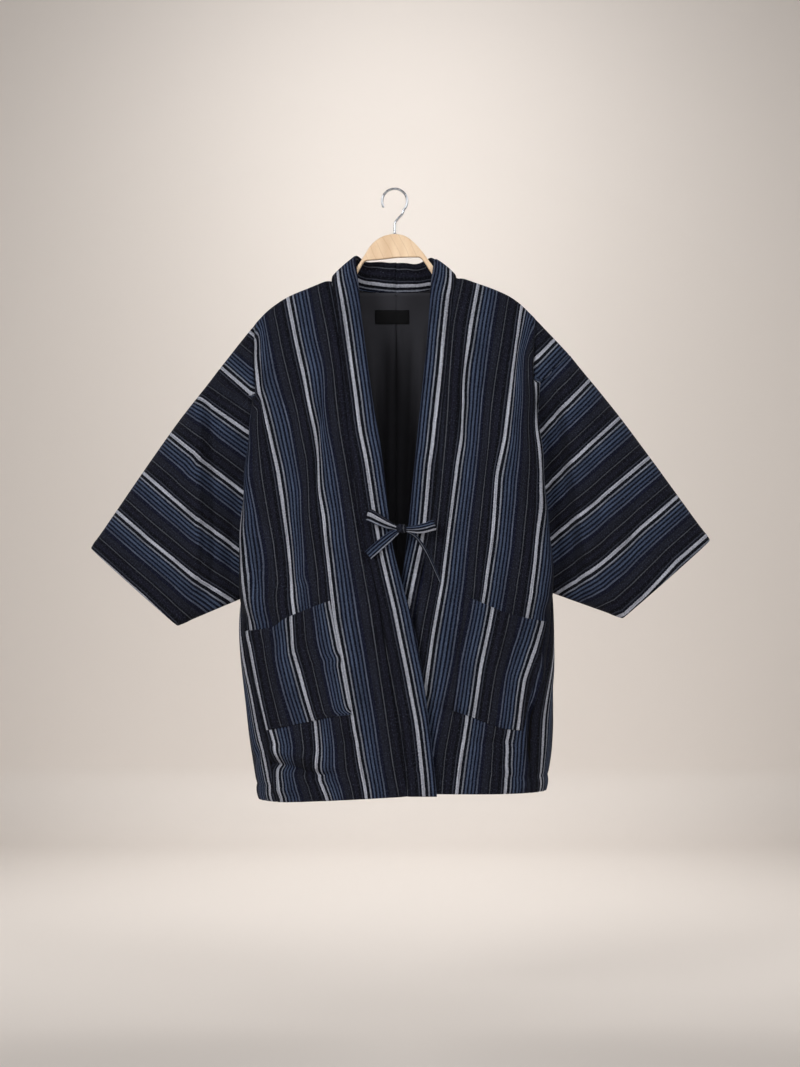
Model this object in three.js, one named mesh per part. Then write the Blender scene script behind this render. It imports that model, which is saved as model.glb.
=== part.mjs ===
// Padded cotton hanten jacket hanging on a wooden hanger. Millimetres, +Z up,
// front towards -Y. The origin is the inside top of the hanger's hook.
// "left" and "right" are as seen from the front.
import * as THREE from 'three';

// ---------------------------------------------------------------- sizes
const CLOTH = 2.4;          // padded cotton wall
const BAND = 4.6;           // collar band, folded double
const POCKET = 1.8;         // patch pocket wall
const LINING = 1.2;         // lining wall
const LABEL = 0.8;          // label wall
const TIE = 1.6;            // tie ribbon
const SEAM = 0.3;           // space left between pieces at a seam
const LAP = 8;              // how far a sleeve runs in under the armhole edge
const FLATNESS = 2.8;       // exponent of the body's rounded section
const WOOD_DEPTH = 11;      // hanger body, front to back
const WIRE = 3.6;           // hook wire
const HOOK_INNER = 17;      // inner radius of the hook

// The two halves of the garment. x is across, z is height; fall tables below
// say how deep the cloth stands in front of or behind the hanger line.
const HALF = {
  left: {
    sign: -1, neckX: -94, neckZ: -135, sideTop: -200,
    hemSeam: -901, hemSide: -912,
    armTop: [-262.7, -271.5], armLow: [-212.5, -316.5],
    cuffTop: [-454, -538.5], cuffLow: [-326.5, -652.5],
    shoulder: [
      { x: 94, z: -135 }, { x: 127, z: -147.8 }, { x: 159, z: -161.4 },
      { x: 192, z: -184.5 }, { x: 206, z: -200 },
    ],
    seam: [
      { z: -135, x: -94 }, { z: -167, x: -90 }, { z: -202, x: -85.5 }, { z: -267, x: -78 },
      { z: -377, x: -66.5 }, { z: -482, x: -54 }, { z: -554, x: -37 }, { z: -616, x: -22.5 },
      { z: -701, x: -10 }, { z: -769, x: 2 }, { z: -842, x: 16 }, { z: -902, x: 19 },
    ],
    fold: [
      { z: -101, x: -59 }, { z: -143, x: -53.7 }, { z: -185, x: -50 }, { z: -232, x: -44 },
      { z: -327, x: -31 }, { z: -436, x: -13.4 }, { z: -479, x: -10.7 }, { z: -540, x: -1.4 },
      { z: -620, x: 20.5 }, { z: -676, x: 33.6 }, { z: -736, x: 43.3 }, { z: -858, x: 58 },
      { z: -902, x: 62.3 },
    ],
    side: [
      { z: -200, x: -206 }, { z: -275, x: -208 }, { z: -318, x: -209 }, { z: -376, x: -217.5 },
      { z: -436, x: -222 }, { z: -495, x: -227.5 }, { z: -617, x: -229 }, { z: -661, x: -231 },
      { z: -705, x: -229.5 }, { z: -765, x: -223 }, { z: -850, x: -211.5 }, { z: -915, x: -202 },
    ],
    gusset: [
      { z: -612, x: -229 }, { z: -656, x: -226 }, { z: -689, x: -221.5 }, { z: -748, x: -209 },
      { z: -808, x: -197 }, { z: -847, x: -187 }, { z: -915, x: -175 },
    ],
    // back of the neck, from the neck point to the centre back
    nape: [
      { sx: -94, sz: -135.8, sy: 3.8, fx: -59, fz: -101.5, fy: 1 },
      { sx: -80, sz: -141, sy: 15, fx: -55, fz: -102.5, fy: 10.5 },
      { sx: -58, sz: -147, sy: 23, fx: -44, fz: -105.5, fy: 18 },
      { sx: -30, sz: -151, sy: 27, fx: -25, fz: -108, fy: 22 },
      { sx: 2, sz: -152.5, sy: 28, fx: 2, fz: -110, fy: 23 },
    ],
    lap: -5, foldIn: -2,
  },
  right: {
    sign: 1, neckX: 92, neckZ: -131.4, sideTop: -192,
    hemSeam: -898, hemSide: -899,
    armTop: [262.3, -250.5], armLow: [216.5, -292.5],
    cuffTop: [471.5, -526.5], cuffLow: [342.5, -641.4],
    shoulder: [
      { x: 92, z: -131.4 }, { x: 122, z: -141 }, { x: 147.5, z: -150 },
      { x: 170, z: -159.9 }, { x: 188.7, z: -173.2 }, { x: 207.5, z: -192 },
    ],
    seam: [
      { z: -132, x: 92 }, { z: -162, x: 86.5 }, { z: -198, x: 83 }, { z: -275, x: 76 },
      { z: -337, x: 69.5 }, { z: -410, x: 62.5 }, { z: -479, x: 58 }, { z: -520, x: 50.5 },
      { z: -576, x: 39 }, { z: -623, x: 29.5 }, { z: -701, x: 17 }, { z: -842, x: 2 },
      { z: -902, x: -2 },
    ],
    fold: [
      { z: -101, x: 60 }, { z: -145, x: 53.6 }, { z: -208, x: 50 }, { z: -267, x: 44.3 },
      { z: -380, x: 32.8 }, { z: -488, x: 22 }, { z: -548, x: 15.4 }, { z: -576, x: 11 },
      { z: -623, x: 2 }, { z: -701, x: -14 }, { z: -842, x: -39 }, { z: -902, x: -46 },
    ],
    side: [
      { z: -192, x: 207.5 }, { z: -226, x: 206 }, { z: -270, x: 204.5 }, { z: -318, x: 208.5 },
      { z: -376, x: 217.5 }, { z: -436, x: 222 }, { z: -495, x: 227 }, { z: -555, x: 233 },
      { z: -604, x: 235 }, { z: -705, x: 237.5 }, { z: -811, x: 235.5 }, { z: -902, x: 225.5 },
    ],
    gusset: [
      { z: -604, x: 235 }, { z: -647, x: 231 }, { z: -689, x: 225.5 }, { z: -748, x: 213 },
      { z: -808, x: 203 }, { z: -902, x: 200.5 },
    ],
    nape: [
      { sx: 92, sz: -132.2, sy: 3.8, fx: 60, fz: -103, fy: 1 },
      { sx: 78, sz: -139, sy: 15, fx: 56, fz: -104.5, fy: 10.5 },
      { sx: 58, sz: -146, sy: 23, fx: 46, fz: -107, fy: 18 },
      { sx: 31, sz: -150.5, sy: 27, fx: 28, fz: -109, fy: 22 },
      { sx: 2, sz: -152.5, sy: 28, fx: 2, fz: -110, fy: 23 },
    ],
    lap: 7, foldIn: 2,
  },
};

// Rows of a front panel, top to hem: drop below the shoulder line at the
// collar seam and at the side. The last row is the hem.
const ROWS = [
  { seam: 0.8, left: 0.8, right: 0.8 },
  { seam: 0.8, left: 0.8, right: 0.8 },
  { seam: 5, left: 5, right: 5 },
  { seam: 16, left: 14, right: 13 },
  { seam: 36, left: 30, right: 27 },
  { seam: 66, left: 52, right: 46 },
  { seam: 100, left: 80, right: 70 },
  { seam: 145, left: 116, right: 101 },
  { seam: 195, left: 165, right: 158 },
  { seam: 250, left: 225, right: 220 },
  { seam: 315, left: 290, right: 288 },
  { seam: 380, left: 352, right: 350 },
  { seam: 440, left: 412, right: 412 },
  { seam: 490, left: 452, right: 452 },
  { seam: 545, left: 500, right: 500 },
  { seam: 600, left: 552, right: 552 },
  { seam: 650, left: 604, right: 604 },
  { seam: 695, left: 650, right: 648 },
  { seam: 733, left: 684, right: 680 },
  { seam: 766, left: 712, right: 707 },
];
const RIDGE_ROW = 1;        // first row in front of the shoulder ridge
const ARM_ROW = 7;          // row where the armhole seam goes in under the fold
const UNDERARM_ROW = 12;    // row of the underarm
const HEM_ROW = ROWS.length - 1;

// How deep the cloth stands below the shoulder ridge.
const FRONT_FALL = [
  { drop: 0, deep: 2.5 }, { drop: 0.8, deep: 3.8 }, { drop: 5, deep: 8 }, { drop: 15, deep: 13.5 },
  { drop: 30, deep: 21 }, { drop: 60, deep: 32 }, { drop: 100, deep: 44 }, { drop: 150, deep: 55 },
  { drop: 220, deep: 66 }, { drop: 300, deep: 73 }, { drop: 400, deep: 78 }, { drop: 780, deep: 88 },
];
const BACK_FALL = [
  { drop: 0, deep: 0 }, { drop: 5, deep: 4.2 }, { drop: 15, deep: 10 }, { drop: 30, deep: 17 },
  { drop: 60, deep: 27 }, { drop: 100, deep: 37 }, { drop: 150, deep: 46 }, { drop: 220, deep: 56 },
  { drop: 300, deep: 63 }, { drop: 400, deep: 69 }, { drop: 780, deep: 80 },
];
// Depth of the side fold, by drop below the shoulder's end.
const SIDE_FALL = [
  { drop: 0, deep: 2.5 }, { drop: 0.8, deep: 3.8 }, { drop: 5, deep: 8 }, { drop: 14, deep: 13 },
  { drop: 30, deep: 19 }, { drop: 60, deep: 28 }, { drop: 116, deep: 37 }, { drop: 235, deep: 41 },
  { drop: 350, deep: 41 }, { drop: 412, deep: 34 }, { drop: 452, deep: 8 }, { drop: 480, deep: 0 },
];
// Depth of the armhole edge: along the seam, then of the groove that the
// sleeve comes out of.
const ARM_FALL = [
  { row: 1, deep: 3.8 }, { row: 2, deep: 8 }, { row: 3, deep: 13 }, { row: 4, deep: 18.5 },
  { row: 5, deep: 24 }, { row: 6, deep: 28 }, { row: 7, deep: 31 }, { row: 8, deep: 28 },
  { row: 9, deep: 26 }, { row: 10, deep: 24 }, { row: 11, deep: 20 }, { row: 12, deep: 11 },
];
// Collar band by drop at its seam: how much higher its folded edge stands,
// and the folded edge's depth as a share of the seam's.
const BAND_RISE = [
  { drop: 0, rise: 34, share: 0.8 }, { drop: 5, rise: 34, share: 0.8 }, { drop: 16, rise: 31, share: 0.8 },
  { drop: 36, rise: 20, share: 0.83 }, { drop: 66, rise: 11, share: 0.88 }, { drop: 100, rise: 5, share: 0.94 },
  { drop: 150, rise: 1, share: 1 }, { drop: 200, rise: 0, share: 1 },
];
// Across a panel: shares of the width from the inner seam to the side fold.
const FRONT_COLS = [0, 0.14, 0.28, 0.42, 0.56, 0.7, 0.82, 0.92, 1];
const WING_COLS = [0.35, 0.7, 1];
const GUSSET_INNER = 0.935; // where the side fold's column goes below the underarm

// Sleeve, armhole to cuff: extra depth each side and rise of the top edge.
const SLEEVE = [
  { m: 0, deep: 0, rise: 0 }, { m: 0.07, deep: 1, rise: 0.5 }, { m: 0.2, deep: 8, rise: 2.4 },
  { m: 0.36, deep: 15, rise: 3.6 }, { m: 0.56, deep: 11, rise: 3 }, { m: 0.78, deep: 6, rise: 1.5 },
  { m: 1, deep: 0, rise: 0 },
];
const CUFF_DEEP = 21;       // half the open cuff, front to back

// Pockets: top and bottom edges, from the outer side inwards for the left one
// and from the inner side outwards for the right one.
const POCKETS = {
  left: [
    { u: 0, tx: -220, tz: -660, bx: -187, bz: -806 },
    { u: 0.34, tx: -179, tz: -653, bx: -148, bz: -797 },
    { u: 0.5, tx: -159, tz: -640, bx: -125, bz: -792 },
    { u: 0.78, tx: -122, tz: -624, bx: -88, bz: -784 },
    { u: 1, tx: -95, tz: -614, bx: -62, bz: -781 },
  ],
  right: [
    { u: 0, tx: 104, tz: -607, bx: 86, bz: -776 },
    { u: 0.25, tx: 133, tz: -619, bx: 113, bz: -785 },
    { u: 0.5, tx: 164, tz: -632, bx: 140, bz: -796 },
    { u: 0.75, tx: 193, tz: -640, bx: 163, bz: -803 },
    { u: 1, tx: 224, tz: -646, bx: 187, bz: -806 },
  ],
};

// ---------------------------------------------------------------- tools
const V = (x, y, z) => new THREE.Vector3(x, y, z);
const mix = (a, b, t) => a + (b - a) * t;
const clamp = (t) => Math.min(1, Math.max(0, t));
const smooth = (a, b, t) => { const s = clamp((t - a) / (b - a)); return s * s * (3 - 2 * s); };

// Monotone cubic through a table's rows, column `to` against column `by`.
function curve(rows, by, to) {
  const r = [...rows].sort((a, b) => a[by] - b[by]);
  const n = r.length;
  const d = [], m = [];
  for (let i = 0; i < n - 1; i++) d.push((r[i + 1][to] - r[i][to]) / (r[i + 1][by] - r[i][by]));
  for (let i = 0; i < n; i++) {
    if (i === 0) m.push(d[0]);
    else if (i === n - 1) m.push(d[n - 2]);
    else m.push(d[i - 1] * d[i] <= 0 ? 0 : (2 * d[i - 1] * d[i]) / (d[i - 1] + d[i]));
  }
  return (x) => {
    if (x <= r[0][by]) return r[0][to];
    if (x >= r[n - 1][by]) return r[n - 1][to];
    let i = 0;
    while (x > r[i + 1][by]) i++;
    const h = r[i + 1][by] - r[i][by], t = (x - r[i][by]) / h;
    return (2 * t ** 3 - 3 * t ** 2 + 1) * r[i][to] + (t ** 3 - 2 * t ** 2 + t) * h * m[i]
      + (3 * t ** 2 - 2 * t ** 3) * r[i + 1][to] + (t ** 3 - t ** 2) * h * m[i + 1];
  };
}

// Surface normals of a grid of points.
function gridNormals(g, loop) {
  const R = g.length, C = g[0].length;
  return g.map((row, i) => row.map((p, j) => {
    const up = g[Math.min(R - 1, i + 1)][j].clone().sub(g[Math.max(0, i - 1)][j]);
    const jn = loop ? (j + 1) % C : Math.min(C - 1, j + 1);
    const jp = loop ? (j + C - 1) % C : Math.max(0, j - 1);
    return up.cross(row[jn].clone().sub(row[jp])).normalize();
  }));
}

// A wall of the given thickness on a grid of points: two skins and the edge
// faces between them. With loop the columns close on themselves, as a tube.
function wall(g, thick, { loop = false, normals = null, thin = null } = {}) {
  const R = g.length, C = g[0].length;
  const N = normals || gridNormals(g, loop);
  const pos = [], idx = [];
  for (const s of [0.5, -0.5]) {
    for (let i = 0; i < R; i++) for (let j = 0; j < C; j++) {
      const t = thick * (thin ? thin(i, j) : 1);
      const p = g[i][j].clone().addScaledVector(N[i][j], s * t);
      pos.push(p.x, p.y, p.z);
    }
  }
  const at = (k, i, j) => k * R * C + i * C + (loop ? (j + C) % C : j);
  const quad = (a, b, c, d) => idx.push(a, b, c, a, c, d);
  const cols = loop ? C : C - 1;
  for (let i = 0; i < R - 1; i++) for (let j = 0; j < cols; j++) {
    quad(at(0, i, j), at(0, i + 1, j), at(0, i + 1, j + 1), at(0, i, j + 1));
    quad(at(1, i, j), at(1, i, j + 1), at(1, i + 1, j + 1), at(1, i + 1, j));
  }
  for (let j = 0; j < cols; j++) {
    quad(at(0, 0, j), at(0, 0, j + 1), at(1, 0, j + 1), at(1, 0, j));
    quad(at(0, R - 1, j + 1), at(0, R - 1, j), at(1, R - 1, j), at(1, R - 1, j + 1));
  }
  if (!loop) for (let i = 0; i < R - 1; i++) {
    quad(at(0, i + 1, 0), at(0, i, 0), at(1, i, 0), at(1, i + 1, 0));
    quad(at(0, i, C - 1), at(0, i + 1, C - 1), at(1, i + 1, C - 1), at(1, i, C - 1));
  }
  // outward faces: turn them all if the enclosed volume comes out negative
  let vol = 0;
  const q = (k) => V(pos[3 * k], pos[3 * k + 1], pos[3 * k + 2]);
  for (let k = 0; k < idx.length; k += 3) vol += q(idx[k]).dot(q(idx[k + 1]).cross(q(idx[k + 2])));
  if (vol < 0) for (let k = 0; k < idx.length; k += 3) [idx[k + 1], idx[k + 2]] = [idx[k + 2], idx[k + 1]];
  const geo = new THREE.BufferGeometry();
  geo.setAttribute('position', new THREE.Float32BufferAttribute(pos, 3));
  geo.setIndex(idx);
  geo.computeVertexNormals();
  return geo;
}

// Draw the first or last column or row of a grid in by half a seam.
function drawIn(g, edge, by = SEAM / 2) {
  const R = g.length, C = g[0].length;
  const pull = (p, q) => p.addScaledVector(q.clone().sub(p).normalize(), by);
  if (edge === 'first') for (let i = 0; i < R; i++) pull(g[i][0], g[i][1]);
  if (edge === 'last') for (let i = 0; i < R; i++) pull(g[i][C - 1], g[i][C - 2]);
  if (edge === 'top') for (let j = 0; j < C; j++) pull(g[0][j], g[1][j]);
  if (edge === 'bottom') for (let j = 0; j < C; j++) pull(g[R - 1][j], g[R - 2][j]);
  return g;
}

// ---------------------------------------------------------------- the form
const frontFall = curve(FRONT_FALL, 'drop', 'deep');
const backFall = curve(BACK_FALL, 'drop', 'deep');
const sideFall = curve(SIDE_FALL, 'drop', 'deep');
const armFall = curve(ARM_FALL, 'row', 'deep');
const bandRise = curve(BAND_RISE, 'drop', 'rise');
const bandShare = curve(BAND_RISE, 'drop', 'share');
for (const h of Object.values(HALF)) {
  h.seamX = curve(h.seam, 'z', 'x');
  h.foldX = curve(h.fold, 'z', 'x');
  h.sideX = curve(h.side, 'z', 'x');
  h.gussetX = curve(h.gusset, 'z', 'x');
  h.shoulderZ = curve(h.shoulder, 'x', 'z');
  h.napeZ = curve(h.nape, 'sx', 'sz');
  h.napeY = curve(h.nape, 'sx', 'sy');
}
const sideLevel = (h, k) => h.sideTop - ROWS[k][h.sign < 0 ? 'left' : 'right'];

// Rounded section across the body: full depth at the middle, the side fold's
// depth at the side.
const across = (h, x, z, deep) => {
  const r = clamp(Math.abs(x / h.sideX(z)));
  const s = sideFall(h.sideTop - z);
  return s + (deep - s) * (1 - r ** FLATNESS) ** (1 / FLATNESS);
};
// Depth of a front panel at x, z. Near the centre the left one is drawn
// forward and the right one back, so they lie over each other.
function frontY(h, x, z) {
  const drop = h.shoulderZ(Math.abs(x)) - z;
  const near = 1 - smooth(20, 130, h.sign * x);
  return -across(h, x, z, frontFall(drop)) + h.lap * near * smooth(230, 420, drop);
}
function backY(h, x, z) {
  const inNeck = Math.abs(x) < Math.abs(h.neckX);
  const top = inNeck ? h.napeZ(x) : h.shoulderZ(Math.abs(x));
  const start = inNeck ? h.napeY(x) : 3.8;
  const drop = Math.max(0, top - z);
  const deep = start * (1 - clamp(drop / 320)) + 3.8 * clamp(drop / 320) + backFall(drop);
  return across(h, x, z, deep);
}

// Outer edge of a panel at row k: along the armhole seam down to where it goes
// in under the fold, then down the groove, then the gusset's seam.
function outerEdge(h, k, dir) {
  const z = sideLevel(h, k);
  if (k <= ARM_ROW) {
    const f = (h.sideTop - z - 0.8) / (h.sideTop - sideLevel(h, ARM_ROW) - 0.8);
    const deep = k === 0 ? -2.7 : armFall(k);
    return V(mix(h.armTop[0], h.armLow[0], f), dir * deep, mix(h.armTop[1], h.armLow[1], f));
  }
  if (k <= UNDERARM_ROW) return V(h.sideX(z) - h.sign * 0.5, dir * armFall(k), z);
  const x = h.gussetX(z);
  return V(x, dir < 0 ? frontY(h, x, z) : backY(h, x, z), z);
}

// One row of a panel from its inner point to its outer edge.
function panelRow(h, k, dir, inner, cols, topLine, depth) {
  const zs = k === HEM_ROW ? h.hemSide : sideLevel(h, k);
  const below = k > UNDERARM_ROW;
  const xs = below ? h.gussetX(zs) * GUSSET_INNER : h.sideX(zs);
  const fade = 1 - smooth(60, 330, ROWS[k].seam);
  const row = [];
  for (const s of cols) {
    const x = mix(inner.x, xs, s);
    const bend = topLine(x) - mix(topLine(inner.x), topLine(xs), s);
    const z = mix(inner.z, zs, s) + bend * fade;
    row.push(V(x, depth(x, z), z));
  }
  const end = outerEdge(h, k, dir);
  if (k === HEM_ROW) { end.z = h.hemSide; end.x = h.gussetX(end.z); end.y = depth(end.x, end.z); }
  const last = row[row.length - 1];
  for (const e of WING_COLS) {
    const p = last.clone().lerp(end, e);
    if (below && e < 1) { p.y = depth(p.x, p.z); }
    row.push(p);
  }
  return row;
}

function frontGrid(h) {
  return ROWS.map((r, k) => {
    const z = k === HEM_ROW ? h.hemSeam : h.neckZ - r.seam;
    const x = h.seamX(z);
    const flip = k === 0 ? -0.7 : 1;                // the first row lies behind the ridge
    const g = panelRow(h, k, -1, V(x, 0, z), FRONT_COLS, (q) => h.shoulderZ(Math.abs(q)),
      (q, w) => flip * frontY(h, q, w));
    return g;
  });
}

// The back panels run from the centre back; their first row is the neckline
// and then the shoulder ridge.
function backGrid(h) {
  const cb = h.nape[h.nape.length - 1];
  const cols = [...h.nape].reverse().map((n) => (n.sx - cb.sx) / (h.sideX(0) - cb.sx));
  for (const s of [0.62, 0.78, 0.9, 1]) cols.push(s);
  const line = (x) => (Math.abs(x) < Math.abs(h.neckX) && x * h.sign > 0 ? h.napeZ(x) : h.shoulderZ(Math.abs(x)) - 0.8);
  return ROWS.map((r, k) => {
    if (k === 1) return null;                       // the ridge is the front panel's
    const z = k === HEM_ROW ? -905 : cb.sz - (k === 0 ? 0 : r.seam * 0.985);
    const start = V(cb.sx, 0, z);
    const row = panelRow(h, k, 1, start, cols, line, (q, w) => backY(h, q, w));
    if (k === 0) {
      row.forEach((p, j) => {
        if (j < h.nape.length) { const n = h.nape[h.nape.length - 1 - j]; p.set(n.sx, n.sy, n.sz); }
        else { p.y = 4.2; p.z = Math.min(p.z, h.shoulderZ(Math.abs(p.x)) - 0.8); }
      });
      const e = outerEdge(h, 1, 1);
      for (let c = 0; c < WING_COLS.length; c++) {
        const j = cols.length + c;
        row[j].copy(row[cols.length - 1].clone().lerp(V(e.x, 4.2, e.z), WING_COLS[c]));
      }
    }
    return row;
  }).filter(Boolean);
}

// Collar band: seam and folded edge at each row, hem to neck, then round the
// back of the neck to the centre.
function collarStations(h) {
  const out = [];
  for (let k = HEM_ROW; k >= RIDGE_ROW; k--) {
    const z = k === HEM_ROW ? h.hemSeam : h.neckZ - ROWS[k].seam;
    const x = h.seamX(z), y = frontY(h, x, z);
    const fz = z + bandRise(ROWS[k].seam), fx = h.foldX(fz);
    const share = bandShare(ROWS[k].seam);
    const turned = h.foldIn * smooth(60, 200, ROWS[k].seam)
      + (h.sign > 0 ? 8 * smooth(120, 260, ROWS[k].seam) * (1 - smooth(420, 520, ROWS[k].seam)) : 0);
    const flat = mix(y * share, frontY(h, fx, z), smooth(60, 200, ROWS[k].seam));
    out.push({ seam: V(x, y, z), fold: V(fx, flat + turned, fz), row: k });
  }
  h.nape.forEach((n, i) => out.push({ seam: V(n.sx, n.sy, n.sz), fold: V(n.fx, n.fy, n.fz), nape: i }));
  return out;
}

// Sleeve rings: the first runs in under the armhole edge, the last is the cuff.
function sleeveGrid(h) {
  const out = V(h.cuffTop[0] - h.armTop[0], 0, h.cuffTop[1] - h.armTop[1]).normalize();
  const topN = V(-out.z * h.sign, 0, out.x * h.sign);        // away from the sleeve's top edge
  if (topN.z < 0) topN.negate();
  const rows = [];
  for (let k = RIDGE_ROW; k <= UNDERARM_ROW; k++) rows.push({ k, dir: -1 });
  rows.push({ k: 'under', dir: 0 });
  for (let k = UNDERARM_ROW; k >= RIDGE_ROW; k--) rows.push({ k, dir: 1 });
  const under = sideLevel(h, UNDERARM_ROW) + 4.2;
  const inset = CLOTH + SEAM + 0.9;
  const base = rows.map(({ k, dir }) => {
    if (k === 'under') return V(h.sideX(under) - h.sign * LAP, 0, under);
    const e = outerEdge(h, k, dir);
    if (k <= ARM_ROW) {
      const f = clamp((k - 1) / 3);                          // round over the top of the sleeve
      e.addScaledVector(out, -LAP);
      e.addScaledVector(topN, -inset * (1 - f * 0.9));
      e.y -= dir * inset * Math.min(1, 0.35 + f);
    } else {
      e.x -= h.sign * (LAP - 0.5);
      e.y -= dir * inset;
      if (k === UNDERARM_ROW) e.z = under + 3;
    }
    return e;
  });
  // share of the way round from the top edge to the bottom edge
  const half = RIDGE_ROW - 1 + UNDERARM_ROW;
  const len = [0];
  for (let j = 1; j <= half; j++) len.push(len[j - 1] + base[j].distanceTo(base[j - 1]));
  const total = len[half];
  const share = rows.map((r, j) => (j <= half ? len[j] / total : len[rows.length - 1 - j] / total));
  const round = (f) => (1 - Math.abs(2 * clamp(f * 0.985 + 0.008) - 1) ** 2.6) ** (1 / 2.6);
  const extra = curve(SLEEVE, 'm', 'deep'), rise = curve(SLEEVE, 'm', 'rise');
  return SLEEVE.map(({ m }) => rows.map(({ dir }, j) => {
    const f = share[j];
    const cuff = V(mix(h.cuffTop[0], h.cuffLow[0], f), dir * CUFF_DEEP * round(f), mix(h.cuffTop[1], h.cuffLow[1], f));
    const p = base[j].clone().lerp(cuff, m);
    p.y += dir * extra(m) * round(f);
    p.addScaledVector(topN, rise(m) * (1 - f) ** 2);
    return p;
  }));
}

// Gusset: from the front panel's outer edge round the side to the back panel's.
function gussetGrid(h) {
  const grid = [];
  for (let k = UNDERARM_ROW; k <= HEM_ROW; k++) {
    const a = outerEdge(h, k, -1), b = outerEdge(h, k, 1);
    if (k === HEM_ROW) for (const [p, f] of [[a, frontY], [b, backY]]) {
      p.z = h.hemSide; p.x = h.gussetX(p.z); p.y = f(h, p.x, p.z);
    }
    const z = a.z, row = [];
    const sideX = h.sideX(z);
    for (const t of [0, 0.17, 0.36, 0.5, 0.64, 0.83, 1]) {
      const y = mix(a.y, b.y, t);
      const deep = y < 0 ? -a.y : b.y;
      const out = Math.sqrt(Math.max(0, 1 - (y / (deep * 1.12)) ** 2));
      const outEnd = Math.sqrt(1 - 1 / 1.12 ** 2);
      row.push(V(mix(a.x, sideX, (out - outEnd) / (1 - outEnd)), y, z));
    }
    grid.push(row);
  }
  return grid;
}

function pocketGrid(side) {
  const h = HALF[side], t = POCKETS[side];
  const tx = curve(t, 'u', 'tx'), tz = curve(t, 'u', 'tz'), bx = curve(t, 'u', 'bx'), bz = curve(t, 'u', 'bz');
  const off = CLOTH / 2 + POCKET / 2 + SEAM + 0.7;
  const grid = [];
  for (const v of [0, 0.05, 0.16, 0.33, 0.5, 0.67, 0.84, 1]) {
    const row = [];
    for (let i = 0; i <= 9; i++) {
      const u = i / 9;
      const x = mix(tx(u), bx(u), v), z = mix(tz(u), bz(u), v);
      const e = 1;
      const n = V(frontY(h, x + e, z) - frontY(h, x - e, z), -2 * e, 0).normalize();
      const gape = 3.2 * (1 - v) ** 6 * Math.sin(Math.PI * u);
      const turn = 1.6 * smooth(0.84, 0.96, Math.abs(x / h.sideX(z)));
      row.push(V(x, frontY(h, x, z), z).addScaledVector(n, off + gape + turn));
    }
    grid.push(row);
  }
  return grid;
}

// Lining of the back: inside the back panel, from the neck seam to near the hem.
function liningGrid(h) {
  const off = CLOTH / 2 + LINING / 2 + SEAM + 1.5;
  const grid = [];
  const cols = [0, 0.15, 0.3, 0.46, 0.62, 0.78, 0.9];
  const rows = [3, 16, 36, 70, 115, 170, 240, 330, 430, 530, 630, 690, 738];
  for (const d of rows) {
    grid.push(cols.map((s) => {
      const zc = -152.5 - d;
      const limit = mix(h.sideX(zc) * 0.97, h.gussetX(zc), smooth(430, 560, d));
      const x = mix(2, limit, s);
      const inNeck = Math.abs(x) < Math.abs(h.neckX);
      const top = inNeck ? h.napeZ(x) - 3 : h.shoulderZ(Math.abs(x)) - 18;
      const zz = Math.min(zc, top - (d - 3) * (1 - smooth(3, 330, d)) * 0.6);
      return V(x, backY(h, x, zz) - off * (1 + 0.45 * s), zz);
    }));
  }
  return grid;
}

// A ribbon along a path: centre points, half-width vectors, one thickness.
function ribbon(stations, thick) {
  return wall(stations.map(([c, w]) => [c.clone().sub(w), c.clone(), c.clone().add(w)]), thick);
}

// ---------------------------------------------------------------- materials
const paint = (color, roughness, metalness = 0) => new THREE.MeshStandardMaterial({ color, roughness, metalness });
const STRIPED = paint(0x2a3146, 0.9);
const BANDED = paint(0x333b52, 0.9);
const DARK = paint(0x232326, 0.85);
const BLACK = paint(0x111113, 0.7);
const WOOD = paint(0xdcb886, 0.5);
const STEEL = paint(0xb9bcc0, 0.3, 1);

const jacket = new THREE.Group();
jacket.name = 'hanten_jacket_on_hanger';
function add(name, geometry, material) {
  const m = new THREE.Mesh(geometry, material);
  m.name = name;
  jacket.add(m);
  return m;
}

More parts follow.
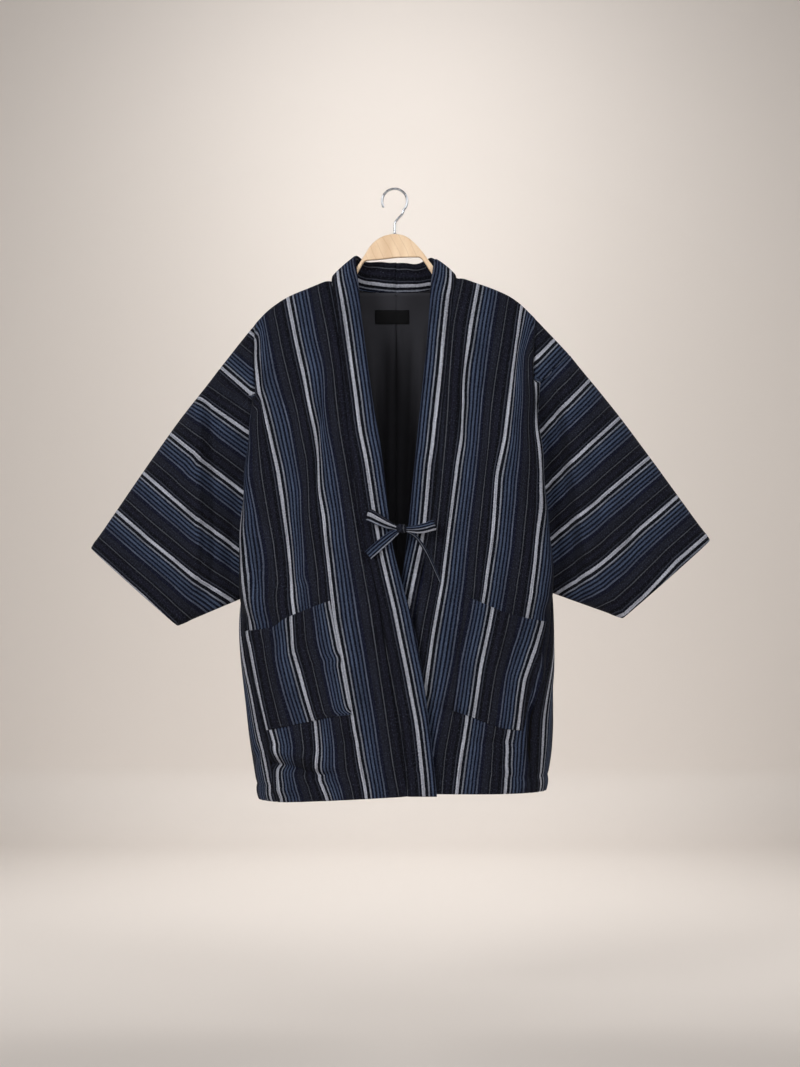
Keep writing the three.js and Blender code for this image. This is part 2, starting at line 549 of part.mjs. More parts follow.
// ---------------------------------------------------------------- cloth
for (const side of ['left', 'right']) {
  const h = HALF[side];
  // front panel
  const front = frontGrid(h);
  const frontN = gridNormals(front, false);
  // back panel
  const back = backGrid(h);
  const backN = gridNormals(back, false);
  // collar band shares the panels' normals along its seam
  const stations = collarStations(h);
  const band = stations.map(({ seam, fold }) => [0, 0.25, 0.55, 0.85, 1].map((s) => seam.clone().lerp(fold, s)));
  const bandN = gridNormals(band, false);
  stations.forEach((st, i) => {
    const ref = st.row !== undefined ? frontN[st.row][0] : backN[0][h.nape.length - 1 - st.nape];
    const n = ref.clone();
    if (n.dot(bandN[i][0]) < 0) n.negate();
    if (st.nape === 0) n.copy(bandN[i][0]);
    bandN[i][0].copy(n);
  });
  drawIn(band, 'first', SEAM);
  drawIn(band, 'bottom');
  add(`collar_${side}`, wall(band, BAND, { normals: bandN, thin: (i, j) => (j === 4 ? 0.5 : 1) }), BANDED);

  drawIn(front, 'first', SEAM);
  for (let i = UNDERARM_ROW + 1; i < front.length; i++) {
    const r = front[i], C = r.length;
    r[C - 1].addScaledVector(r[C - 2].clone().sub(r[C - 1]).normalize(), SEAM / 2);
  }
  add(`front_${side}`, wall(front, CLOTH, { normals: frontN }), STRIPED);

  drawIn(back, 'first');
  drawIn(back, 'top', SEAM * 1.5);
  for (let i = UNDERARM_ROW; i < back.length; i++) {
    const r = back[i], C = r.length;
    r[C - 1].addScaledVector(r[C - 2].clone().sub(r[C - 1]).normalize(), SEAM / 2);
  }
  add(`back_${side}`, wall(back, CLOTH, { normals: backN }), STRIPED);

  // gusset between them
  const gusset = gussetGrid(h);
  const gussetN = gridNormals(gusset, false);
  gusset.forEach((row, i) => {
    for (const [j, N, r] of [[0, frontN, UNDERARM_ROW + i], [row.length - 1, backN, UNDERARM_ROW - 1 + i]]) {
      const n = N[r][N[r].length - 1].clone();
      if (n.dot(gussetN[i][j]) < 0) n.negate();
      gussetN[i][j].copy(n);
    }
  });
  drawIn(gusset, 'first');
  drawIn(gusset, 'last');
  for (const row of gusset.slice(0, 2)) {            // narrow top, under the sleeve
    row[0].lerp(row[1], 0.3);
    row[row.length - 1].lerp(row[row.length - 2], 0.3);
  }
  drawIn(gusset, 'top', 1.5);
  add(`gusset_${side}`, wall(gusset, CLOTH, { normals: gussetN }), STRIPED);

  add(`sleeve_${side}`, wall(sleeveGrid(h), CLOTH, { loop: true }), BANDED);
  add(`pocket_${side}`, wall(pocketGrid(side), POCKET), STRIPED);
  add(`lining_${side}`, wall(drawIn(liningGrid(h), 'first'), LINING), DARK);
}

// Bare label on the lining, across the centre back.
{
  const grid = [];
  for (let i = 0; i <= 2; i++) {
    const z = mix(-176.4, -197.6, i / 2), row = [];
    for (let j = 0; j <= 4; j++) {
      const x = mix(-24.4, 21.6, j / 4);
      const h = x < 2 ? HALF.left : HALF.right;
      row.push(V(x, backY(h, x, z) - (CLOTH / 2 + LINING + SEAM + 1.4 + LABEL / 2 + SEAM + 0.9), z));
    }
    grid.push(row);
  }
  add('label', wall(grid, LABEL), BLACK);
}

// ---------------------------------------------------------------- ties
// Tied in a bow in front of the collar bands: the stems come from the bands'
// folded edges, the loops are doubled ribbon, the tails hang.
const TIE_Y = -96;
{
  const knot = new THREE.SphereGeometry(1, 14, 10);
  knot.scale(8.2, 5.2, 6.4);
  const m = add('tie_knot', knot, BANDED);
  m.position.set(11.5, TIE_Y, -508);
  const side = (x, y, z, w) => V(x, y, z).normalize().multiplyScalar(w / 2);

  const loop = (pts, gapY) => {
    // out along the front, round the end, back along the rear
    const st = [];
    for (const p of pts) st.push([V(p.x, TIE_Y - p.open, p.z), side(p.wx, 0, p.wz, p.w)]);
    const e = pts[pts.length - 1];
    st.push([V(e.x + e.turn, TIE_Y, e.z + e.turnZ), side(e.wx, 0, e.wz, e.w)]);
    for (const p of [...pts].reverse()) st.push([V(p.x, TIE_Y + p.open * gapY, p.z), side(p.wx, 0, p.wz, p.w)]);
    return st;
  };
  add('tie_loop_left', ribbon(loop([
    { x: 1, z: -505, wx: 0.1, wz: 1, w: 8, open: 1.6 },
    { x: -12, z: -500.5, wx: 0.3, wz: 1, w: 14, open: 3.4 },
    { x: -26, z: -493, wx: 0.36, wz: 1, w: 18, open: 4.2 },
    { x: -37, z: -487.5, wx: 0.36, wz: 1, w: 20, open: 3, turn: -3, turnZ: 0.5 },
  ], 0.9), TIE), BANDED);
  add('tie_loop_right', ribbon(loop([
    { x: 22, z: -509, wx: 0, wz: 1, w: 8, open: 1.6 },
    { x: 34, z: -508.5, wx: -0.05, wz: 1, w: 13, open: 3.4 },
    { x: 46, z: -506, wx: -0.15, wz: 1, w: 15, open: 4.2 },
    { x: 56, z: -503, wx: -0.25, wz: 1, w: 15.5, open: 3, turn: 3, turnZ: 0.8 },
  ], 0.9), TIE), BANDED);
  add('tie_tail_left', ribbon([
    [V(2.5, TIE_Y - 1.5, -513.5), side(-0.45, 0, 1, 9)],
    [V(-8, TIE_Y - 1, -521), side(-0.62, 0, 1, 14)],
    [V(-22, TIE_Y, -532.5), side(-0.72, 0, 1, 16)],
    [V(-38, TIE_Y + 2, -547), side(-0.8, 0, 1, 16)],
  ], TIE), BANDED);
  add('tie_tail_right', ribbon([
    [V(22, TIE_Y + 0.5, -514.5), side(0.25, 1, 0.4, 8)],
    [V(33, TIE_Y, -522), side(0.2, 1, 0.25, 12)],
    [V(44, TIE_Y, -538), side(0.2, 1, 0.15, 14)],
    [V(55, TIE_Y, -560), side(0.22, 1, 0.12, 14)],
    [V(67, TIE_Y, -587), side(0.25, 1, 0.12, 14)],
  ], TIE), BANDED);
  add('tie_stem_left', ribbon([
    [V(-14, TIE_Y + 8.4, -485), side(0.5, 0, 1, 14)],
    [V(-6, TIE_Y + 7.6, -491), side(0.5, 0, 1, 12)],
    [V(2.5, TIE_Y + 6.4, -498.5), side(0.6, 0, 1, 8)],
  ], TIE), BANDED);
  add('tie_stem_right', ribbon([
    [V(27, TIE_Y + 8.4, -489), side(-0.4, 0, 1, 14)],
    [V(22, TIE_Y + 7.6, -495), side(-0.5, 0, 1, 12)],
    [V(17, TIE_Y + 6.6, -500.5), side(-0.6, 0, 1, 8)],
  ], TIE), BANDED);
}

// ---------------------------------------------------------------- hanger
{
  // top edge of the head and arms, then the lower edge, left to right and back
  const top = [
    [-196, -203], [-186, -191], [-159, -175], [-127, -161], [-94, -149], [-72, -134], [-54.7, -112.5],
    [-46.5, -100], [-37, -85], [-26, -74.5], [-12, -68], [0, -66.2], [12, -68], [28, -78], [40, -91],
    [55, -111], [72, -131], [92, -146], [122, -155], [147.5, -166], [168, -178], [180, -189], [189, -200],
  ];
  const low = [
    [185, -206], [173, -201], [147.5, -183], [122, -170], [92, -160], [68, -145], [54, -123],
    [37.4, -101.5], [-44.8, -106.7], [-54, -122], [-67, -147], [-94, -163], [-127, -177], [-159, -192],
    [-180, -206], [-192, -210],
  ];
  const outline = new THREE.Shape([...top, ...low].map(([x, z]) => new THREE.Vector2(x, z)));
  const edge = 1.2;
  const geo = new THREE.ExtrudeGeometry(outline, {
    depth: WOOD_DEPTH - 2 * edge, steps: 1, bevelEnabled: true, bevelThickness: edge, bevelSize: edge,
    bevelOffset: -edge, bevelSegments: 2,
  });
  geo.translate(0, 0, -(WOOD_DEPTH - 2 * edge) / 2);
  geo.rotateX(Math.PI / 2);                           // outline x, z; depth along y
  add('hanger_wood', geo, WOOD);

  const r = HOOK_INNER + WIRE / 2, path = [];
  path.push(V(0, 0, -65.6), V(0, 0, -58), V(0.6, 0, -50), V(5, 0, -43), V(11, 0, -36.5));
  for (let a = -42; a <= 212; a += 14) {
    const t = THREE.MathUtils.degToRad(a);
    path.push(V(r * Math.cos(t), 0, -HOOK_INNER + r * Math.sin(t)));
  }
  const section = new THREE.Shape();
  const n = 10;
  for (let i = 0; i < n; i++) {
    const t = (2 * Math.PI * i) / n;
    const x = (WIRE / 2) * Math.cos(t), y = (WIRE / 2) * Math.sin(t);
    if (i === 0) section.moveTo(x, y); else section.lineTo(x, y);
  }
  section.closePath();
  const hook = new THREE.ExtrudeGeometry(section, {
    steps: 52, bevelEnabled: false, extrudePath: new THREE.CatmullRomCurve3(path),
  });
  add('hanger_hook', hook, STEEL);
}

export default jacket;
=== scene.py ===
# Padded striped cotton hanten jacket, tied at the front, on a wooden hanger.
# Lengths in the tables are millimetres in the part's frame: +Z up, front
# towards -Y, origin at the inside top of the hook. "left" and "right" are as
# seen from the front. Stripe and crease tables are in picture positions; picture()
# finds where points of the cloth fall in the picture.
import math
import bpy
import numpy as np
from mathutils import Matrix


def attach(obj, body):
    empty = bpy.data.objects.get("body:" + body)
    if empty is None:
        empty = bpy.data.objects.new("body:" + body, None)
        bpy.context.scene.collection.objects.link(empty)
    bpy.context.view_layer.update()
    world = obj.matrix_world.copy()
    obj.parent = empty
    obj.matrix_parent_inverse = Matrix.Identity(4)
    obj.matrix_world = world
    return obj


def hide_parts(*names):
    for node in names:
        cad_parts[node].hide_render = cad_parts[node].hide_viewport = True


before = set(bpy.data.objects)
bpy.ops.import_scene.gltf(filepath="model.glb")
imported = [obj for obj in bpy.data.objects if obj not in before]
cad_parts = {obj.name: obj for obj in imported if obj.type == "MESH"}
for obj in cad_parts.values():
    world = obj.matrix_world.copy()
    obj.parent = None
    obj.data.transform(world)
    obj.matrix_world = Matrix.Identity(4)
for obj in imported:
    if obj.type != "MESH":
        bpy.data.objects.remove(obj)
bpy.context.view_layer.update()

# ------------------------------------------------------------------ sizes, mm
CLOTH = 3.8          # padded cotton, shell to lining
BAND = 6.2           # collar band, folded double and padded
POCKET = 2.2         # patch pocket
LINING = 1.0         # lining of the back
LABEL = 0.8
TIE = 1.5
STEP = 3.4           # grid pitch of the cloth
SEAM_DIP = 1.3       # how far cloth sinks into a seam
REPEAT = 72.75       # stripe repeat across the cloth
CAM_X, CAM_Z, CAM_FAR = 8.0, -515.25, 4000.0
PX = 1.5             # mm to a picture step at the hanger's plane
CAD_CLOTH, CAD_SEAM, LAP, FLATNESS, CUFF_DEEP, TIE_Y = 2.4, 0.3, 8, 2.8, 21, -96
RIDGE_ROW, ARM_ROW, UNDERARM_ROW, HEM_ROW = 1, 7, 12, 19
GUSSET_INNER = 0.935


def cols(names, *rows):
    """A short table: one array for each named column."""
    return {n: np.array([r[i] for r in rows], float) for i, n in enumerate(names.split())}


# ------------------------------------------------------------------ the cut
HALF = {
  "left": {
    "sign": -1, "neckX": -94, "neckZ": -135, "sideTop": -200,
    "hemSeam": -901, "hemSide": -912,
    "armTop": [-262.7, -271.5], "armLow": [-212.5, -316.5],
    "cuffTop": [-454, -538.5], "cuffLow": [-326.5, -652.5],
    "shoulder": cols("x z",
        (94, -135), (127, -147.8), (159, -161.4), (192, -184.5), (206, -200),),
    "seam": cols("z x",
        (-135, -94), (-167, -90), (-202, -85.5), (-267, -78), (-377, -66.5), (-482, -54),
        (-554, -37), (-616, -22.5), (-701, -10), (-769, 2), (-842, 16), (-902, 19),),
    "fold": cols("z x",
        (-101, -59), (-143, -53.7), (-185, -50), (-232, -44), (-327, -31), (-436, -13.4),
        (-479, -10.7), (-540, -1.4), (-620, 20.5), (-676, 33.6), (-736, 43.3), (-858, 58),
        (-902, 62.3),),
    "side": cols("z x",
        (-200, -206), (-275, -208), (-318, -209), (-376, -217.5), (-436, -222),
        (-495, -227.5), (-617, -229), (-661, -231), (-705, -229.5), (-765, -223),
        (-850, -211.5), (-915, -202),),
    "gusset": cols("z x",
        (-612, -229), (-656, -226), (-689, -221.5), (-748, -209), (-808, -197), (-847, -187),
        (-915, -175),),
    
    "nape": cols("sx sz sy fx fz fy",
        (-94, -135.8, 3.8, -59, -101.5, 1), (-80, -141, 15, -55, -102.5, 10.5),
        (-58, -147, 23, -44, -105.5, 18), (-30, -151, 27, -25, -108, 22),
        (2, -152.5, 28, 2, -110, 23),),
    "lap": -5, "foldIn": -2,
  },
  "right": {
    "sign": 1, "neckX": 92, "neckZ": -131.4, "sideTop": -192,
    "hemSeam": -898, "hemSide": -899,
    "armTop": [262.3, -250.5], "armLow": [216.5, -292.5],
    "cuffTop": [471.5, -526.5], "cuffLow": [342.5, -641.4],
    "shoulder": cols("x z",
        (92, -131.4), (122, -141), (147.5, -150), (170, -159.9), (188.7, -173.2),
        (207.5, -192),),
    "seam": cols("z x",
        (-132, 92), (-162, 86.5), (-198, 83), (-275, 76), (-337, 69.5), (-410, 62.5),
        (-479, 58), (-520, 50.5), (-576, 39), (-623, 29.5), (-701, 17), (-842, 2),
        (-902, -2),),
    "fold": cols("z x",
        (-101, 60), (-145, 53.6), (-208, 50), (-267, 44.3), (-380, 32.8), (-488, 22),
        (-548, 15.4), (-576, 11), (-623, 2), (-701, -14), (-842, -39), (-902, -46),),
    "side": cols("z x",
        (-192, 207.5), (-226, 206), (-270, 204.5), (-318, 208.5), (-376, 217.5), (-436, 222),
        (-495, 227), (-555, 233), (-604, 235), (-705, 237.5), (-811, 235.5), (-902, 225.5),),
    "gusset": cols("z x",
        (-604, 235), (-647, 231), (-689, 225.5), (-748, 213), (-808, 203), (-902, 200.5),),
    "nape": cols("sx sz sy fx fz fy",
        (92, -132.2, 3.8, 60, -103, 1), (78, -139, 15, 56, -104.5, 10.5),
        (58, -146, 23, 46, -107, 18), (31, -150.5, 27, 28, -109, 22),
        (2, -152.5, 28, 2, -110, 23),),
    "lap": 7, "foldIn": 2,
  },
}

ROWS = cols("seam left right",
        (0.8, 0.8, 0.8), (0.8, 0.8, 0.8), (5, 5, 5), (16, 14, 13), (36, 30, 27),
        (66, 52, 46), (100, 80, 70), (145, 116, 101), (195, 165, 158), (250, 225, 220),
        (315, 290, 288), (380, 352, 350), (440, 412, 412), (490, 452, 452), (545, 500, 500),
        (600, 552, 552), (650, 604, 604), (695, 650, 648), (733, 684, 680), (766, 712, 707),)

FRONT_FALL = cols("drop deep",
        (0, 2.5), (0.8, 3.8), (5, 8), (15, 13.5), (30, 21), (60, 32), (100, 44), (150, 55),
        (220, 66), (300, 73), (400, 78), (780, 88),)

BACK_FALL = cols("drop deep",
        (0, 0), (5, 4.2), (15, 10), (30, 17), (60, 27), (100, 37), (150, 46), (220, 56),
        (300, 63), (400, 69), (780, 80),)

SIDE_FALL = cols("drop deep",
        (0, 2.5), (0.8, 3.8), (5, 8), (14, 13), (30, 19), (60, 28), (116, 37), (235, 41),
        (350, 41), (412, 34), (452, 8), (480, 0),)

ARM_FALL = cols("row deep",
        (1, 3.8), (2, 8), (3, 13), (4, 18.5), (5, 24), (6, 28), (7, 31), (8, 28), (9, 26),
        (10, 24), (11, 20), (12, 11),)

BAND_RISE = cols("drop rise share",
        (0, 34, 0.8), (5, 34, 0.8), (16, 31, 0.8), (36, 20, 0.83), (66, 11, 0.88),
        (100, 5, 0.94), (150, 1, 1), (200, 0, 1),)

SLEEVE = cols("m deep rise",
        (0, 0, 0), (0.07, 1, 0.5), (0.2, 8, 2.4), (0.36, 15, 3.6), (0.56, 11, 3),
        (0.78, 6, 1.5), (1, 0, 0),)

POCKETS = {
  "left": cols("u tx tz bx bz",
        (0, -220, -660, -187, -806), (0.34, -179, -653, -148, -797),
        (0.5, -159, -640, -125, -792), (0.78, -122, -624, -88, -784),
        (1, -95, -614, -62, -781),),
  "right": cols("u tx tz bx bz",
        (0, 104, -607, 86, -776), (0.25, 133, -619, 113, -785), (0.5, 164, -632, 140, -796),
        (0.75, 193, -640, 163, -803), (1, 224, -646, 187, -806),),
}


# ------------------------------------------------------------------ tools
def mix(a, b, t):
    return a + (b - a) * t


def smooth(a, b, t):
    s = np.clip((np.asarray(t, float) - a) / (b - a), 0, 1)
    return s * s * (3 - 2 * s)


def unit(v):
    n = np.linalg.norm(v, axis=-1, keepdims=True)
    return v / np.where(n < 1e-9, 1, n)


class Curve:
    """Monotone cubic through a table's rows."""

    def __init__(self, table, by, to):
        o = np.argsort(table[by], kind="stable")
        self.x, self.y = table[by][o], table[to][o]
        d = np.diff(self.y) / np.diff(self.x)
        m = np.empty_like(self.y)
        m[0], m[-1] = d[0], d[-1]
        a, b = d[:-1], d[1:]
        m[1:-1] = np.where(a * b <= 0, 0, 2 * a * b / np.where(a + b == 0, 1, a + b))
        self.m = m

    def __call__(self, q):
        q = np.clip(np.asarray(q, float), self.x[0], self.x[-1])
        i = np.clip(np.searchsorted(self.x, q, side="right") - 1, 0, len(self.x) - 2)
        h = self.x[i + 1] - self.x[i]
        t = (q - self.x[i]) / h
        return ((2 * t**3 - 3 * t**2 + 1) * self.y[i] + (t**3 - 2 * t**2 + t) * h * self.m[i]
                + (3 * t**2 - 2 * t**3) * self.y[i + 1] + (t**3 - t**2) * h * self.m[i + 1])


def resample(g, t, q):
    """Rows of g, known at t, read at q, by a monotone cubic in each number."""
    h = (t[1:] - t[:-1]).reshape(-1, *([1] * (g.ndim - 1)))
    d = (g[1:] - g[:-1]) / h
    m = np.empty_like(g)
    m[0], m[-1] = d[0], d[-1]
    a, b = d[:-1], d[1:]
    s = a + b
    m[1:-1] = np.where(a * b <= 0, 0, 2 * a * b / np.where(s == 0, 1, s))
    i = np.clip(np.searchsorted(t, q, side="right") - 1, 0, len(t) - 2)
    w = (t[i + 1] - t[i]).reshape(-1, *([1] * (g.ndim - 1)))
    u = (q - t[i]).reshape(w.shape) / w
    return ((2 * u**3 - 3 * u**2 + 1) * g[i] + (u**3 - 2 * u**2 + u) * w * m[i]
            + (3 * u**2 - 2 * u**3) * g[i + 1] + (u**3 - u**2) * w * m[i + 1])


def chord(g, axis=0):
    """Mean running length along an axis of a grid of points."""
    step = np.linalg.norm(np.diff(g, axis=axis), axis=-1)
    mean = step.mean(axis=1 - axis)
    return np.concatenate([[0], np.cumsum(np.maximum(mean, 1e-3))])


def spaced(total, step, fine0=False, fine1=False):
    """Stations from 0 to total, closer together at an edge that is rolled."""
    edge = np.array([0, 0.35, 0.9, 1.7, 2.8])
    q = list(np.linspace(0, total, max(3, int(round(total / step)) + 1)))
    if fine0:
        q = list(edge) + [x for x in q if x > edge[-1] + 0.8]
    if fine1:
        q = [x for x in q if x < total - edge[-1] - 0.8] + list(total - edge[::-1])
    return np.array(q)


def refine(g, step, rows=(False, False), colsedge=(False, False)):
    """A finer grid through a coarse one's points."""
    t = chord(g, 0)
    g = resample(g, t, spaced(t[-1], step, *rows))
    t = chord(g, 1)
    g = resample(g.transpose(1, 0, 2), t, spaced(t[-1], step, *colsedge)).transpose(1, 0, 2)
    return g


def normals(g, loop=False, facing=None):
    """Unit normals of a grid of points, turned towards facing."""
    du = np.gradient(g, axis=0)
    if loop:
        dv = np.roll(g, -1, axis=1) - np.roll(g, 1, axis=1)
    else:
        dv = np.gradient(g, axis=1)
    n = unit(np.cross(du, dv))
    if facing is not None and (n * np.asarray(facing, float)).sum() < 0:
        n = -n
    return n


def run(g, axis):
    """Running length of every point along an axis."""
    step = np.linalg.norm(np.diff(g, axis=axis), axis=-1)
    pad = [(0, 0), (0, 0)]
    pad[axis] = (1, 0)
    return np.pad(np.cumsum(step, axis=axis), pad)


def picture(g):
    """Picture position of points."""
    s = PX * (1 + g[..., 1] / CAM_FAR)
    return 400 + (g[..., 0] - CAM_X) / s, 533.5 - (g[..., 2] - CAM_Z) / s


def blur(a, passes, axis=0):
    """Running mean of three, keeping the ends."""
    a = np.array(a, float)
    for _ in range(passes):
        b = np.moveaxis(a, axis, 0)
        c = b.copy()
        c[1:-1] = 0.25 * b[:-2] + 0.5 * b[1:-1] + 0.25 * b[2:]
        a = np.moveaxis(c, 0, axis)
    return a


def relief(x, y, creases):
    """Height of creases listed at picture positions: each row is
    (points, width, height, other side's width)."""
    out = np.zeros_like(x)
    for pts, wide, high, wide2 in creases:
        pts = np.array(pts, float)
        total = np.linalg.norm(np.diff(pts, axis=0), axis=1).sum()
        best = np.full(x.shape, 1e9)
        along = np.zeros_like(x)
        side = np.ones_like(x)
        done = 0.0
        for a, b in zip(pts[:-1], pts[1:]):
            ab = b - a
            ln = np.hypot(*ab)
            t = np.clip(((x - a[0]) * ab[0] + (y - a[1]) * ab[1]) / ln**2, 0, 1)
            dx, dy = x - (a[0] + t * ab[0]), y - (a[1] + t * ab[1])
            dist = np.hypot(dx, dy)
            near = dist < best
            best = np.where(near, dist, best)
            along = np.where(near, done + t * ln, along)
            side = np.where(near, np.sign(ab[0] * dy - ab[1] * dx), side)
            done += ln
        f = along / total
        fade = smooth(0, 0.3, f) * (1 - smooth(0.7, 1, f))
        w = np.where(side > 0, wide, wide2)
        out += high * np.exp(-((best / w) ** 2)) * fade
    return out


def swell(x, z, seed, amp, size):
    """Soft unevenness of padded cloth, the same on every run."""
    rng = np.random.default_rng(seed)
    out = np.zeros_like(x)
    for i in range(7):
        a, ph = rng.uniform(0, 2 * math.pi, 2)
        k = 2 * math.pi / (size * rng.uniform(0.6, 1.7))
        out += np.sin(k * (math.cos(a) * x + math.sin(a) * z) + ph) * rng.uniform(0.5, 1)
    return out * amp / 3


def pucker(dist, along, seed, amp, reach=9.0):
    """Small gathers that run off a seam and die away."""
    rng = np.random.default_rng(seed)
    out = np.zeros_like(along)
    for wave in (9.0, 13.0, 19.0, 31.0):
        out += np.sin(2 * math.pi * along / (wave * rng.uniform(0.85, 1.2)) + rng.uniform(0, 6.3)) * rng.uniform(0.5, 1)
    gate = 0.5 + 0.5 * np.sin(2 * math.pi * along / 83.0 + rng.uniform(0, 6.3))
    return amp * out / 2 * (0.35 + 0.65 * gate) * np.exp(-dist / reach)


# ------------------------------------------------------------------ meshes
def grid_faces(idx, flip):
    a, b, c, d = idx[:-1, :-1], idx[1:, :-1], idx[1:, 1:], idx[:-1, 1:]
    f = np.stack([a, d, c, b] if flip else [a, b, c, d], -1).reshape(-1, 4)
    return f


def shell(name, g, n, thick, uv, mats, *, uv_in=None, loop=False, free=(), roll=4.0, crown=0.0):
    """A closed shell on a grid of mid points: an outer and an inner skin joined
    round the edges. free names the edges that are rolled: top, bottom, first,
    last. uv is the cloth position across and along the stripes, in mm."""
    R, C = g.shape[:2]
    du = run(g, 0)
    dv = run(g, 1)
    f = np.ones((R, C))
    dist = {"top": du, "bottom": du[-1:] - du, "first": dv, "last": dv[:, -1:] - dv}
    for e in free:
        f *= np.sqrt(np.clip(1 - (1 - np.clip(dist[e] / roll, 0, 1)) ** 2, 0.03, 1))
    half = 0.5 * np.asarray(thick, float) * f
    if crown:
        w = dv / np.maximum(dv[:, -1:], 1)
        half = half + crown * np.sin(math.pi * w) ** 0.8 * f
    half = np.broadcast_to(half, (R, C))[..., None]
    co = np.concatenate([(g + n * half).reshape(-1, 3), (g - n * half).reshape(-1, 3)]) * 0.001
    vid = np.arange(R * C).reshape(R, C)
    if loop:
        vid = np.concatenate([vid, vid[:, :1]], 1)
    CU = vid.shape[1]
    if loop:                      # one more column of cloth positions at the join
        last = np.linalg.norm(g[:, 0] - g[:, -1], axis=-1)[:, None]
        uv = np.concatenate([uv, np.stack([uv[:, 0, 0], uv[:, -1, 1] + last[:, 0]], -1)[:, None]], 1)
        uv_in = uv if uv_in is None else uv_in
    uv_in = uv if uv_in is None else uv_in
    turn = np.einsum("ijk,ijk->", np.cross(np.gradient(g, axis=0), np.gradient(g, axis=1)), n) > 0
    groups = []                   # faces, cloth corners, bake corners, material
    tid = np.arange(R * CU).reshape(R, CU)
    ra = (chord(g, 0) / chord(g, 0)[-1])
    ca = np.linspace(0, 1, CU) if loop else chord(g, 1) / chord(g, 1)[-1]
    bx, by = np.meshgrid(ca, ra)
    outer_bake = np.stack([0.012 + 0.735 * bx, 0.02 + 0.96 * by], -1).reshape(-1, 2)
    inner_bake = np.stack([0.775 + 0.215 * bx, 0.02 + 0.96 * by], -1).reshape(-1, 2)
    cu, ci = uv.reshape(-1, 2), uv_in.reshape(-1, 2)
    ft, fv = grid_faces(tid, not turn), grid_faces(vid, not turn)
    groups.append((fv, cu[ft], outer_bake[ft], 0))
    ft, fv = grid_faces(tid, turn), grid_faces(vid + R * C, turn)
    groups.append((fv, ci[ft], inner_bake[ft], 1))

    def strip(v, t, k, flip):
        """Faces from the outer skin's edge to the inner skin's."""
        m = len(v) - 1
        fa = np.stack([v[:-1], v[1:], v[1:] + R * C, v[:-1] + R * C], -1)
        cc = np.stack([cu[t[:-1]], cu[t[1:]], cu[t[1:]], cu[t[:-1]]], 1).copy()
        cc[:, 2:, :] += 0.6
        s = np.linspace(0, 1, m + 1)
        lo = {0: (0.012, 0.003, 1), 1: (0.012, 0.988, 1), 2: (0.003, 0.02, 0), 3: (0.755, 0.02, 0)}[k]
        if lo[2]:
            q = lambda x, y: np.stack([lo[0] + 0.735 * x, np.full_like(x, lo[1] + 0.008 * y)], -1)
        else:
            q = lambda x, y: np.stack([np.full_like(x, lo[0] + 0.006 * y), lo[1] + 0.96 * x], -1)
        bb = np.stack([q(s[:-1], 0), q(s[1:], 0), q(s[1:], 1), q(s[:-1], 1)], 1)
        if flip:
            fa, cc, bb = fa[:, ::-1], cc[:, ::-1], bb[:, ::-1]
        groups.append((fa, cc, bb, 0))

    strip(vid[0], tid[0], 0, not turn)
    strip(vid[-1], tid[-1], 1, turn)
    if not loop:
        strip(vid[:, 0], tid[:, 0], 2, turn)
        strip(vid[:, -1], tid[:, -1], 3, not turn)
    faces = np.concatenate([x[0] for x in groups])
    cloth = np.concatenate([x[1] for x in groups]) * 0.001
    bake = np.concatenate([x[2] for x in groups])
    mi = np.concatenate([np.full(len(x[0]), x[3]) for x in groups])
    return build(name, co, faces, cloth, bake, mi, mats)


def build(name, co, faces, cloth, bake, mi, mats):
    me = bpy.data.meshes.new(name)
    k = faces.shape[1]
    me.vertices.add(len(co))
    me.vertices.foreach_set("co", np.ascontiguousarray(co, dtype=np.float32).ravel())
    me.loops.add(faces.size)
    me.loops.foreach_set("vertex_index", np.ascontiguousarray(faces, dtype=np.int32).ravel())
    me.polygons.add(len(faces))
    me.polygons.foreach_set("loop_start", np.arange(0, faces.size, k, dtype=np.int32))
    me.polygons.foreach_set("material_index", np.ascontiguousarray(mi, dtype=np.int32))
    me.polygons.foreach_set("use_smooth", np.ones(len(faces), dtype=bool))
    for label, data in (("cloth", cloth), ("OFBake", bake)):
        if data is not None:
            layer = me.uv_layers.new(name=label)
            layer.data.foreach_set("uv", np.ascontiguousarray(data, dtype=np.float32).ravel())
    for m in mats:
        me.materials.append(m)
    me.update(calc_edges=True)
    me.validate()
    o = bpy.data.objects.new(name, me)
    bpy.context.scene.collection.objects.link(o)
    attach(o, "root")
    return o


# ------------------------------------------------------------------ materials
def nodes_of(name):
    m = bpy.data.materials.new(name)
    m.use_nodes = True
    nt = m.node_tree
    return m, nt, nt.nodes["Principled BSDF"]


